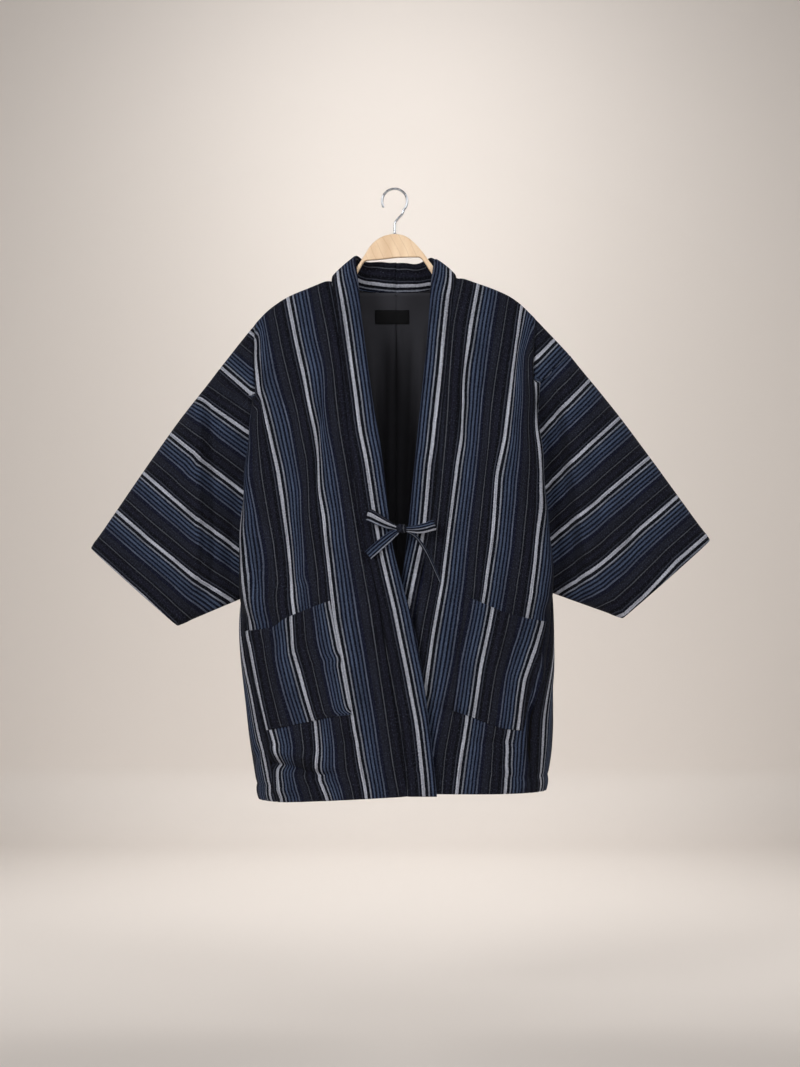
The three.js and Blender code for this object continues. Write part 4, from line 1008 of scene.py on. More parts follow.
def stripes(g, lines, way, pitch=REPEAT * 0.985, passes=8):
    """Stripe count at every point: rows of g run across the stripes, and way
    is +1 where the count grows along a row."""
    s, cross = crossings(g, lines)
    u = np.full(s.shape, np.nan)
    for i in range(len(g)):
        got = sorted((cross[n][i], n) for n in cross if np.isfinite(cross[n][i]))
        keep = []
        for a, n in got:                         # in order, and not crowded
            if keep and ((n - keep[-1][1]) * way <= 0 or (a - keep[-1][0]) < 0.35 * pitch * abs(n - keep[-1][1])):
                continue
            keep.append((a, n))
        if not keep:
            continue
        a = np.array([k[0] for k in keep])
        n = np.array([k[1] for k in keep], float)
        a = np.concatenate([[a[0] - 6 * pitch], a, [a[-1] + 6 * pitch]])
        n = np.concatenate([[n[0] - 6 * way], n, [n[-1] + 6 * way]])
        u[i] = np.interp(s[i], a, n)
    good = np.where(np.isfinite(u[:, 0]))[0]
    for i in range(len(g)):
        if not np.isfinite(u[i, 0]):
            u[i] = u[good[np.argmin(abs(good - i))]]
    return blur(u, passes, 0)


def follow(q, xs, ys):
    """Linear through points, carried on past both ends."""
    out = np.interp(q, xs, ys)
    lo = (ys[1] - ys[0]) / (xs[1] - xs[0])
    hi = (ys[-1] - ys[-2]) / (xs[-1] - xs[-2])
    out = np.where(q < xs[0], ys[0] + (q - xs[0]) * lo, out)
    return np.where(q > xs[-1], ys[-1] + (q - xs[-1]) * hi, out)


def sleeve_stripes(g, lines, sign):
    """Stripe count on a sleeve: lines cross it, counted towards the cuff."""
    x, y = picture(g)
    ang = math.radians(38.5)
    along = (x * math.cos(ang) * -sign + y * math.sin(ang))       # down a stripe
    across_ = (x * math.sin(ang) * sign + y * math.cos(ang))      # towards the cuff
    tracks = []
    for n, pts in lines:
        p = np.array(pts, float)
        a = p[:, 0] * math.cos(ang) * -sign + p[:, 1] * math.sin(ang)
        b = p[:, 0] * math.sin(ang) * sign + p[:, 1] * math.cos(ang)
        o = np.argsort(a)
        tracks.append(follow(along, a[o], b[o]))
    n0 = lines[0][0]
    u = n0 + (across_ - tracks[0]) / 48.5
    for i in range(len(tracks) - 1):
        gap = np.maximum(tracks[i + 1] - tracks[i], 20)
        u = np.where(across_ >= tracks[i], n0 + i + np.minimum((across_ - tracks[i]) / gap, 1), u)
    u = np.where(across_ >= tracks[-1], n0 + len(tracks) - 1 + (across_ - tracks[-1]) / 48.5, u)
    return u, along * PX


# ------------------------------------------------------------------ creases
# (picture points, width to one side, height in mm (minus is a trough), width to
# the other side), widths in picture steps.
BODY_CREASES = {
    "left": [
        ([(324, 360), (323, 400), (318, 450), (318, 480), (320, 520)], 4.5, -3.4, 8),
        ([(312, 380), (306, 430), (306, 500), (312, 560)], 7, 2.0, 9),
        ([(254, 759), (272, 764), (292, 768), (322, 776), (352, 772)], 3.2, -4.6, 5),
        ([(256, 746), (275, 750), (300, 755), (330, 762)], 6, 2.6, 5),
        ([(262, 785), (285, 789), (310, 786)], 5, 2.2, 6),
        ([(250, 560), (262, 600), (275, 640)], 5, -1.6, 7),
        ([(246, 520), (252, 566), (254, 600)], 4, -1.8, 5),
        ([(345, 560), (352, 640), (362, 720), (372, 780)], 8, 1.6, 8),
        ([(275, 640), (283, 690), (290, 740)], 7, 1.4, 7),
        ([(335, 300), (330, 340), (326, 380)], 6, -1.2, 6),
        ([(270, 340), (276, 400), (290, 470)], 9, 1.2, 9),
        ([(262, 350), (259, 400), (262, 450)], 5, -1.4, 4),
        ([(330, 735), (352, 742), (380, 740)], 5, -1.6, 6),
    ],
    "right": [
        ([(468, 340), (463, 380), (462, 410), (464, 450)], 4, -3.0, 8),
        ([(478, 330), (474, 390), (474, 450), (470, 510)], 8, 1.8, 8),
        ([(428, 706), (440, 709), (455, 712), (470, 718)], 3, -2.4, 4),
        ([(520, 350), (510, 420), (500, 500), (494, 570)], 8, 1.4, 9),
        ([(530, 370), (535, 440), (537, 520), (533, 590)], 6, -1.8, 5),
        ([(531, 690), (530, 725), (530, 770)], 3.5, -4.0, 5),
        ([(455, 735), (480, 744), (505, 742), (525, 748)], 5, -2.0, 6),
        ([(470, 770), (495, 776), (520, 770)], 6, 1.8, 6),
        ([(448, 620), (442, 680), (436, 740)], 7, 1.4, 7),
        ([(505, 600), (498, 650), (490, 700)], 7, 1.4, 8),
        ([(532, 640), (538, 670), (547, 705)], 5, 2.4, 6),
        ([(549, 690), (541, 725), (546, 765)], 4, -3.4, 5),
        ([(553, 680), (555, 720), (552, 770)], 4, 2.4, 4),
        ([(534, 742), (545, 752), (556, 760)], 4, -2.4, 4),
    ],
}
SLEEVE_CREASES = {
    "left": [
        ([(200, 330), (200, 400), (199, 470), (198, 540), (192, 625)], 28, 10.5, 3.5),
        ([(211, 345), (211, 410), (213, 480), (214, 550), (206, 635)], 6, -12.0, 30),
        ([(234, 390), (233, 461), (231, 520), (228, 575), (222, 645)], 14, -8.0, 12),
        ([(172, 450), (152, 520), (136, 590)], 15, 3.4, 18),
        ([(187, 480), (181, 560), (170, 625)], 9, -4.6, 11),
        ([(120, 530), (138, 566), (156, 600)], 12, 2.6, 14),
        ([(150, 500), (142, 540), (128, 575)], 9, -3.0, 9),
        ([(206, 600), (222, 592), (240, 580)], 6, 3.0, 8),
    ],
    "right": [
        ([(558, 345), (571, 440), (579, 508), (588, 560), (595, 625)], 5, 10.0, 28),
        ([(545, 350), (560, 446), (567, 508), (575, 560), (583, 640)], 34, -15.0, 6),
        ([(600, 430), (614, 500), (622, 580)], 14, 3.6, 15),
        ([(597, 460), (604, 530), (607, 605)], 9, -4.6, 10),
        ([(652, 480), (650, 550), (640, 610)], 13, 3.4, 14),
        ([(630, 470), (634, 540), (630, 600)], 9, -3.2, 9),
        ([(556, 596), (576, 588), (600, 594)], 7, 3.0, 9),
        ([(596, 375), (580, 388), (560, 400)], 5, -3.6, 5),
    ],
}
BACK_CREASES = {
    "left": [
        ([(392, 330), (372, 420), (352, 540)], 9, -2.2, 12),
        ([(300, 320), (306, 430), (300, 560)], 10, 2.0, 12),
        ([(262, 380), (268, 470), (258, 580)], 8, -2.6, 9),
        ([(330, 560), (320, 660), (330, 760)], 12, 2.2, 12),
        ([(262, 640), (282, 660), (310, 664)], 7, -2.4, 8),
        ([(270, 740), (310, 752), (350, 746)], 8, -2.2, 9),
        ([(380, 600), (384, 700), (376, 780)], 9, 1.8, 10),
    ],
    "right": [
        ([(408, 330), (430, 430), (446, 560)], 9, -2.0, 12),
        ([(500, 320), (494, 430), (504, 540)], 10, 2.0, 12),
        ([(536, 380), (528, 470), (540, 570)], 8, -2.4, 9),
        ([(470, 560), (482, 660), (470, 770)], 12, 2.0, 12),
        ([(540, 630), (518, 654), (492, 660)], 7, -2.2, 8),
        ([(440, 745), (480, 756), (520, 748)], 8, -2.0, 9),
        ([(420, 600), (418, 690), (428, 780)], 9, 1.8, 10),
    ],
}


# ------------------------------------------------------------------ pieces
made = {}


def flat_size(g, thick=0.0):
    """Flat width, length and area of a grid, in metres."""
    w = run(g, 1)[:, -1]
    ln = run(g, 0)[-1]
    a = np.linalg.norm(np.cross(g[1:, :-1] - g[:-1, :-1], g[:-1, 1:] - g[:-1, :-1]), axis=-1).sum()
    return float(w.max()) / 1000, float(ln.max()) / 1000, float(a) / 1e6


def declare(g, loop=False):
    if loop:
        g = np.concatenate([g, g[:, :1]], 1)


# Beyond the shoulder fold the cloth lies along the arm and its stripes slant:
# the count at a point, and how it grows in picture steps.
WINGS = {"left": (1.0, 249.5, 332.0, 0.66 / 45.4, -0.752 / 45.4), "right": (3.0, 555.0, 339.0, 0.719 / 48.5, 0.694 / 48.5)}


def front(h):
    g = front_grid(h)
    u = stripes(g, FRONT_LINES[h.name], h.sign)
    x, y = picture(g)
    s = run(g, 1)
    beyond = s - s[:, FOLD_COL:FOLD_COL + 1]
    n0, x0, y0, dx, dy = WINGS[h.name]
    slant = n0 + (x - x0) * dx + (y - y0) * dy
    high = smooth(2, 8, g[..., 2] - h.armLow[1])
    u = mix(u, slant, smooth(-0.5, 2.5, beyond) * high)
    v = run(g, 0)
    n = normals(g, facing=(0, -1, 0))
    du = run(g, 0)
    end = s[:, -1:] - s
    lift = 2.3 * relief(x, y, BODY_CREASES[h.name]) + swell(g[..., 0], g[..., 2], 11 if h.sign < 0 else 12, 2.2, 105)
    lift *= smooth(0, 14, s) * smooth(2, 26, du)
    # the cloth folds over at the shoulder and the arm comes out from under it
    below = smooth(2, 26, du)
    lift += 3.0 * np.exp(-(((beyond + 4.5) / 4.5) ** 2)) * below * high
    lift -= 4.6 * np.exp(-(((beyond - 3.2) / 3.0) ** 2)) * below * high * smooth(2, 8, end)
    lift -= 2.9 * SEAM_DIP * np.exp(-((s / 6.0) ** 2))                 # collar seam
    lift += 1.6 * np.exp(-(((s - 17) / 9.0) ** 2)) * smooth(2, 26, du)
    lift += pucker(s, du, 21, 0.8) * smooth(0, 3, s)
    lift -= 1.1 * np.exp(-((end / 3.0) ** 2))                          # armhole and gusset seams
    lift += pucker(end, du, 22, 0.5)
    hem = du[-1:] - du
    lift += pucker(hem, s, 23, 0.9, 16)
    lift -= 1.4 * np.exp(-(((hem - 24) / 4.0) ** 2))                   # hem turned up and caught down
    g2 = g + n * lift[..., None]
    n2 = normals(g2, facing=(0, -1, 0))
    thick = CLOTH + 3.2 * np.exp(-(((hem - 11) / 9.5) ** 2))
    o = shell(f"front_{h.name}_cloth", g2, n2, thick, np.stack([u * REPEAT, v], -1), OUTER, free=("bottom",), roll=3.4)
    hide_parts(f"front_{h.name}")
    declare(g)
    made[f"front_{h.name}"] = (g, u)
    return o


def back(h):
    g, fold = back_grid(h)
    fg, fu = made[f"front_{h.name}"]
    s = run(g, 1)
    # the cloth runs on over the shoulder: match the stripes along the ridge
    fx = fg[1, :, 0] * h.sign
    o = np.argsort(fx)
    probe = 150.0
    n_at = float(np.interp(probe, fx[o], fu[1, o]))
    v = -run(g, 0)
    # near the neck and shoulder line the stripes keep the course they have below
    ref = int(np.argmax(-v[:, 0] > 70.0))
    rx = g[ref, :fold, 0] * h.sign
    level = np.interp(g[..., 0] * h.sign, rx, s[ref, :fold])
    hold = (1 - smooth(25, 70, -v)) * (g[..., 0] * h.sign < rx[-1] - 2.0)
    hold[:, fold:] = 0
    s_u = s * (1 - hold) + level * hold
    s_at = float(np.interp(probe, g[0, :, 0] * h.sign, s_u[0]))
    u = n_at + h.sign * (s_u - s_at) / REPEAT
    n = normals(g, facing=(0, 1, 0))
    x, y = picture(g)
    du = run(g, 0)
    end = s[:, -1:] - s
    lift = relief(x, y, BACK_CREASES[h.name]) + swell(g[..., 0], g[..., 2], 31 if h.sign < 0 else 32, 1.5, 170)
    lift *= smooth(0, 10, s) * smooth(2, 26, du)
    lift -= SEAM_DIP * np.exp(-((s / 3.0) ** 2))                       # centre seam
    lift += pucker(s, du, 33, 0.45) * smooth(0, 3, s)
    lift -= 1.1 * np.exp(-((end / 3.0) ** 2))
    lift += pucker(end, du, 34, 0.5)
    lift -= 1.1 * np.exp(-((du / 3.0) ** 2)) * (np.abs(g[..., 0]) < abs(h.neckX))
    hem = du[-1:] - du
    lift += pucker(hem, s, 35, 0.9, 16)
    lift -= 1.4 * np.exp(-(((hem - 24) / 4.0) ** 2))
    lift = np.maximum(lift, -2.6)                                      # clear of the lining
    g2 = g + n * lift[..., None]
    n2 = normals(g2, facing=(0, 1, 0))
    thick = CLOTH * 0.86 + 3.2 * np.exp(-(((hem - 11) / 9.5) ** 2))
    ob = shell(f"back_{h.name}_cloth", g2, n2, thick, np.stack([u * REPEAT, v], -1), OUTER, free=("bottom",), roll=3.4)
    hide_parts(f"back_{h.name}")
    declare(g)
    return ob


def gusset(h):
    g = gusset_grid(h)
    t = chord(g, 1)
    g = resample(g.transpose(1, 0, 2), t, spaced(t[-1], 3.0)).transpose(1, 0, 2)
    s, du = run(g, 1), run(g, 0)
    start = 7.0 if h.sign < 0 else 21.0
    u = (s - start) / REPEAT
    n = normals(g, facing=(h.sign, 0, 0))
    end = s[:, -1:] - s
    x, y = picture(g)
    lift = swell(g[..., 1], g[..., 2], 41, 1.3, 90) * smooth(0, 12, s) * smooth(0, 12, end)
    if h.sign > 0:
        lift += relief(s, y, [([(2, 690), (5, 725), (3, 770)], 5, -2.4, 5), ([(30, 640), (34, 700), (30, 770)], 9, 2.0, 9)])
    else:
        lift += relief(s, y, [([(6, 745), (30, 760), (60, 755)], 6, -3.2, 6), ([(28, 660), (30, 720), (26, 790)], 9, 2.0, 9)])
    for e, seed in ((s, 42), (end, 43)):
        lift -= 1.1 * np.exp(-((e / 3.0) ** 2))
        lift += pucker(e, du, seed, 0.5)
    hem = du[-1:] - du
    lift += pucker(hem, s, 44, 0.8, 14)
    lift -= 1.3 * np.exp(-(((hem - 24) / 4.0) ** 2))
    lift *= smooth(0, 18, du)
    g2 = g + n * lift[..., None]
    n2 = normals(g2, facing=(h.sign, 0, 0))
    thick = CLOTH * 0.8 + 3.2 * np.exp(-(((hem - 11) / 9.5) ** 2))
    o = shell(f"gusset_{h.name}_cloth", g2, n2, thick, np.stack([u * REPEAT, du], -1), OUTER, free=("bottom",), roll=3.4)
    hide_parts(f"gusset_{h.name}")
    declare(g)
    return o


def collar(h):
    g = collar_grid(h)
    s, cross = crossings(g, COLLAR_LINES[h.name])
    c = cross[0]
    nape = g[:, 0, 1] > -3
    c = np.where(nape, 17.0, c)
    ok = np.isfinite(c) & (c > 8) & (c < 30)
    c = np.interp(np.arange(len(c)), np.where(ok)[0], c[ok])
    c = blur(c[:, None], 8, 0)
    um = s - c                                                # mm after the wide pale stripe
    v = run(g, 0)
    width = s[:, -1:]
    um_in = (width - c) + 15.5 + (width - s)                   # round the folded edge and back
    n = normals(g)
    if n[2, 5, 1] > 0:
        n = -n
    end = width - s
    lift = swell(v, s, 51 if h.sign < 0 else 52, 0.8, 120) * smooth(0, 10, s)
    lift += pucker(s, v, 53, 0.7) * smooth(0, 3, s) - 0.9 * np.exp(-((s / 2.6) ** 2))
    x, y = picture(g)
    behind = smooth(-2, 12, g[..., 1])                        # crumpled at the back of the neck
    lift += behind * s / width * (2.4 * np.sin(v / 9.0 + 1.1) + 1.6 * np.sin(v / 5.3 + 0.4 * s / 9) + 1.2 * np.sin(v / 14.0))
    g = g + np.array([0, 0, 1.0]) * (behind * (s / width) ** 2 * (2.4 + 2.0 * np.sin(v / 11.0 + 2.0) + 1.4 * np.sin(v / 6.5)))[..., None]
    if h.sign < 0:                                            # small tuck by the hem
        lift += relief(x, y, [([(404, 762), (410, 769), (420, 771)], 2.5, -2.2, 4)])
    g2 = g + n * lift[..., None]
    n2 = normals(g2)
    if (n2 * n).sum() < 0:
        n2 = -n2
    thick = BAND * (0.5 + 0.5 * smooth(0, 6, s))
    o = shell(f"collar_{h.name}_band", g2, n2, thick, np.stack([um, v], -1), [STRIPED, STRIPED],
              uv_in=np.stack([um_in, v], -1), free=("last", "top"), roll=4.2, crown=1.8)
    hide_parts(f"collar_{h.name}")
    return o


def sleeve(h):
    g = sleeve_grid(h)
    centre = g.mean(axis=1, keepdims=True)
    n = normals(g, loop=True)
    if (n * (g - centre)).sum() < 0:
        n = -n
    x, y = picture(g)
    du = run(g, 0)
    cuff = du[-1:] - du
    front_side = smooth(-3, 3, -g[..., 1])
    lift = relief(x, y, SLEEVE_CREASES[h.name]) * (0.25 + 0.75 * front_side)
    lift += swell(g[..., 0] + g[..., 1] * 2, g[..., 2], 61 if h.sign < 0 else 62, 1.3, 130)
    flat = smooth(4, 14, np.abs(g[..., 1]))                   # the folded edges keep their line
    lift *= (0.02 + 0.98 * flat) * smooth(0, 30, du)
    along = np.cumsum(np.linalg.norm(g - np.roll(g, 1, 1), axis=-1), axis=1)
    lift += pucker(cuff, along, 63, 0.7, 14)
    lift -= 1.2 * np.exp(-(((cuff - 22) / 4.0) ** 2))
    room = np.abs(g[..., 1]) - 4.0
    lift = np.maximum(lift, -np.maximum(room, 0) * 0.86)
    g2 = g + n * np.array([0.2, 1, 0.2]) * lift[..., None]     # the outline stays
    u, v = sleeve_stripes(g2, SLEEVE_LINES[h.name], h.sign)
    if h.name == "left":                                      # cut in one with the shoulder here
        n0, x0, y0, dx, dy = WINGS["left"]
        px, py = picture(g2)
        above = (px - 203) * 0.6 - (py - 400) * 0.8
        u = np.where(above > 24, SLEEVE_LINES["left"][0][0] + n0 + (px - x0) * dx + (py - y0) * dy, u)
    n2 = normals(g2, loop=True)
    if (n2 * n).sum() < 0:
        n2 = -n2
    v = np.cumsum(np.linalg.norm(g - np.roll(g, 1, 1), axis=-1), axis=1)
    thick = CLOTH + 2.4 * np.exp(-(((cuff - 10) / 8.5) ** 2))
    thick = np.minimum(thick, np.maximum(2.2, np.abs(g[..., 1]) * 0.9 + 2.2))
    o = shell(f"sleeve_{h.name}_cloth", g2, n2, thick, np.stack([u * REPEAT, v], -1), OUTER, loop=True, free=("bottom",), roll=3.0)
    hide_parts(f"sleeve_{h.name}")
    declare(g, loop=True)
    return o


def pocket(h):
    t = POCKETS[h.name]
    tx, tz, bx, bz = (Curve(t, "u", k) for k in ("tx", "tz", "bx", "bz"))
    uu = np.concatenate([[0, 0.004, 0.01, 0.02, 0.032], np.linspace(0.05, 0.95, 44), [0.968, 0.98, 0.99, 0.996, 1]])
    vv = np.concatenate([[0, 0.003, 0.008, 0.016, 0.026], np.linspace(0.045, 0.955, 44), [0.972, 0.984, 0.992, 0.997, 1]])
    U, W = np.meshgrid(uu, vv)
    x = mix(tx(U), bx(U), W)
    z = mix(tz(U), bz(U), W)
    y = front_y(h, x, z)
    e = 1.0
    n = unit(np.stack([front_y(h, x + e, z) - front_y(h, x - e, z), np.full_like(x, -2 * e), np.zeros_like(x)], -1))
    base = np.stack([x, y, z], -1)
    px, py = picture(base)
    under = 2.3 * relief(px, py, BODY_CREASES[h.name]) + swell(x, z, 11 if h.sign < 0 else 12, 2.2, 105)
    gape = 3.0 * (1 - W) ** 6 * np.sin(math.pi * U)
    turn = 1.6 * smooth(0.84, 0.96, np.abs(x / h.side_x(z)))
    off = CLOTH / 2 + POCKET / 2 + 0.35
    s, d = run(base, 1), run(base, 0)
    rim = np.minimum(np.minimum(s, s[:, -1:] - s), d[-1:] - d)
    puff = 1.7 * smooth(0, 16, rim) * (1 - 0.6 * (1 - W) ** 3)
    lift = under + off + gape + turn + puff + pucker(rim, s + d, 71, 0.45, 7) * smooth(0, 3, rim)
    lift += relief(px, py, POCKET_CREASES[h.name]) * smooth(0, 10, rim)
    lift -= 0.5 * np.exp(-(((d - 22) / 2.2) ** 2)) * smooth(3, 10, rim)          # turned top edge, caught down
    g = base + n * lift[..., None]
    n2 = normals(g, facing=(0, -1, 0))
    u = stripes(g, POCKET_LINES[h.name], -1 if h.sign < 0 else -1, passes=4)
    thick = POCKET + 0.9 * np.exp(-(((d - 11) / 8.0) ** 2))
    o = shell(f"pocket_{h.name}_cloth", g, n2, thick, np.stack([u * REPEAT, d], -1), OUTER,
              free=("top", "bottom", "first", "last"), roll=2.0)
    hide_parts(f"pocket_{h.name}")
    declare(g)
    return o


POCKET_CREASES = {
    "left": [([(262, 650), (270, 690), (282, 722)], 6, -1.6, 8), ([(285, 640), (292, 680), (300, 716)], 8, 1.4, 7),
             ([(330, 640), (338, 680), (344, 706)], 5, -1.4, 6), ([(300, 622), (315, 640), (330, 650)], 6, 1.2, 7)],
    "right": [([(470, 630), (468, 670), (462, 705)], 5, -1.4, 6), ([(500, 625), (492, 670), (486, 710)], 7, 1.5, 7),
              ([(515, 640), (510, 680), (506, 716)], 5, -1.6, 6), ([(536, 650), (530, 690), (528, 720)], 4, -1.8, 5)],
}


def lining(h):
    """Lining of the back, inside the back panel, as far as the neck opening and the hem show it."""
    off = CAD_CLOTH / 2 + 0.6 + CAD_SEAM + 1.5
    drops = np.linspace(-0.3, 738, 151)
    shares = np.concatenate([[0, 0.006, 0.014], np.linspace(0.03, 0.9, 56)])
    D, S = np.meshgrid(drops, shares, indexing="ij")
    zc = -152.5 - D
    limit = mix(h.side_x(zc) * 0.97, h.gusset_x(zc), smooth(430, 560, D))
    x = mix(2.0, limit, S)
    in_neck = np.abs(x) < abs(h.neckX)
    top = np.where(in_neck, h.nape_z(x) + 0.3, h.shoulder_z(np.abs(x)) - 18)
    z = np.minimum(zc, top - (D + 0.3) * (1 - smooth(3, 330, D)) * 0.6)
    y = back_y(h, x, z) - off * (1 + 0.45 * S)
    g = np.stack([x, y, z], -1)
    n = normals(g, facing=(0, -1, 0))
    s, d = run(g, 1), run(g, 0)
    px, py = picture(g)
    folds = LINING_FOLDS[h.name]
    lift = relief(px, py, folds) + swell(x, z, 81 if h.sign < 0 else 82, 0.9, 130) + 1.2
    lift *= smooth(0, 12, d)
    lift -= 1.2 * np.exp(-((s / 2.4) ** 2))
    lift = np.maximum(lift, -0.3)
    g2 = g + n * lift[..., None]
    n2 = normals(g2, facing=(0, -1, 0))
    o = shell(f"lining_{h.name}_cloth", g2, n2, LINING, np.stack([s, d], -1), [SATEEN, SATEEN], roll=1.0)
    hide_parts(f"lining_{h.name}")
    declare(g)
    made[f"lining_{h.name}"] = (g2, n2)
    return o


LINING_FOLDS = {
    "left": [([(394, 310), (391, 400), (386, 580)], 5, 10.0, 8), ([(371, 320), (374, 420), (380, 590)], 7, 9.0, 6),
             ([(382, 330), (383, 430), (384, 590)], 4, -5.0, 4)],
    "right": [([(404, 310), (402, 420), (398, 600)], 5, 7.0, 9), ([(424, 310), (420, 420), (410, 600)], 6, 10.0, 6),
              ([(413, 330), (411, 430), (404, 600)], 4, -5.0, 4)],
}


def label():
    gl, nl = made["lining_left"]
    gr, nr = made["lining_right"]
    g0 = np.concatenate([gl[:, ::-1], gr], 1)
    n0 = np.concatenate([nl[:, ::-1], nr], 1)
    xs, zs = np.linspace(-29.5, 21.6, 30), np.linspace(-176.4, -197.6, 15)
    row = np.array([np.interp(-z, -g0[:, g0.shape[1] // 2, 2], np.arange(len(g0))) for z in zs])
    g = np.empty((len(zs), len(xs), 3))
    n = np.empty_like(g)
    for i, r in enumerate(row):
        a = int(r)
        f = r - a
        line, nn = mix(g0[a], g0[a + 1], f), mix(n0[a], n0[a + 1], f)
        for k in range(3):
            g[i, :, k] = np.interp(xs, line[:, 0], line[:, k])
            n[i, :, k] = np.interp(xs, line[:, 0], nn[:, k])
    g = blur(blur(g, 6, 1), 3, 0)
    n = unit(blur(n, 8, 1))
    edge = np.minimum.outer(np.minimum(np.arange(15), np.arange(15)[::-1]), np.minimum(np.arange(30), np.arange(30)[::-1]))
    g = g + n * (LINING / 2 + LABEL / 2 + 0.25 + 0.5 * (1 - np.exp(-edge / 1.5)))[..., None]
    uv = np.stack(np.meshgrid(xs, -zs), -1)
    o = shell("label_tape", g, n, LABEL, uv, [BLACK, BLACK], free=("top", "bottom"), roll=0.8)
    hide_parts("label")
    return o


def ribbon(name, node, stations, u0, u1, seed, curl=0.0, fold=0.0, thick=TIE, roll=0.9):
    """A tie: centre points with half-width vectors, carrying stripes u0 to u1
    across it. curl bows it across; fold adds lengthwise crumples."""
    c = np.array([s[0] for s in stations], float)
    w = np.array([s[1] for s in stations], float)
    both = np.stack([c, w], 1)
    t = np.concatenate([[0], np.cumsum(np.linalg.norm(np.diff(c, axis=0), axis=1))])
    q = spaced(t[-1], 0.9)
    both = resample(both, t, q)
    for _ in range(3):
        k = both.copy()
        k[1:-1] = 0.25 * both[:-2] + 0.5 * both[1:-1] + 0.25 * both[2:]
        both = k
    c, w = both[:, 0], both[:, 1]
    s = np.concatenate([[-1, -0.97, -0.9], np.linspace(-0.78, 0.78, 13), [0.9, 0.97, 1]])
    g = c[:, None] + w[:, None] * s[None, :, None]
    n = normals(g)
    rng = np.random.default_rng(seed)
    du = run(g, 0)
    lift = curl * (1 - s[None] ** 2)
    for _ in range(5):
        f, p, a = rng.uniform(0.7, 2.3), rng.uniform(0, 6.3), rng.uniform(-0.12, 0.12)
        lift = lift + fold * 0.45 * np.sin(f * math.pi * s[None] + p + a * du)
    g = g + n * lift[..., None]
    n = normals(g)
    u = mix(u0, u1, (s[None] + 1) / 2) + np.zeros_like(du)
    o = shell(name, g, n, thick, np.stack([u, du], -1), [STRIPED, STRIPED],
              free=("first", "last", "top", "bottom"), roll=roll)
    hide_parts(node)
    wd, ln, a = flat_size(g)
    return o


def side(x, y, z, w):
    return unit(np.array([x, y, z], float)) * (w / 2)


def loop_path(pts, gap):
    """Out along the front, round the end and back behind."""
    st = [((p[0], TIE_Y - p[5], p[1]), side(p[2], 0, p[3], p[4])) for p in pts]
    x, z, wx, wz, w = pts[-1][:5]
    turn = 3.2 if x > 11 else -3.2
    st.append(((x + turn, TIE_Y, z + 0.6), side(wx, 0, wz, w)))
    st += [((p[0], TIE_Y + p[5] * gap, p[1]), side(p[2], 0, p[3], p[4])) for p in pts[::-1]]
    return st


def knot():
    """The bow's knot: a turn of the ribbon drawn tight over the crossing."""
    R, C = 40, 56
    th = np.linspace(0.02, math.pi - 0.02, R)[:, None]
    ph = (np.linspace(0, 2 * math.pi, C, endpoint=False))[None]
    # poles left and right; the turn of ribbon goes over the top and round behind
    p = 2.4
    sx = -np.sign(np.cos(th)) * np.abs(np.cos(th)) ** (2 / p)
    ring = np.abs(np.sin(th)) ** (2 / p)
    cz, cy = np.cos(ph), -np.sin(ph)
    r = 1 + 0.07 * np.sin(3 * ph + 5 * th) + 0.07 * np.sin(8 * th + 1.5 * np.sin(ph)) + 0.045 * np.sin(13 * th + 2 * ph)
    x = sx * (7.4 + 0.6 * np.sin(2 * ph + 0.6)) + 0 * ph
    z = ring * cz * 6.0 * r
    y = ring * cy * 5.4 * r
    waist = 1 - 0.22 * np.exp(-(((x - 1.2 * np.sin(ph)) / 1.5) ** 2))
    g = np.stack([10.4 + x + 0.16 * z, TIE_Y + y * waist, -508 + z * waist - 0.15 * x], -1)
    n = normals(g, loop=True)
    if (n * (g - g.mean(axis=(0, 1)))).sum() < 0:
        n = -n
    u = 45.5 + x * 0.9 + 2.0 * np.sin(ph + 0.7)
    v = (ph + 0 * th) * 6.5
    o = shell("tie_knot_cloth", g, n, 1.4, np.stack([u, v], -1), [STRIPED, STRIPED], loop=True)
    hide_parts("tie_knot")
    return o


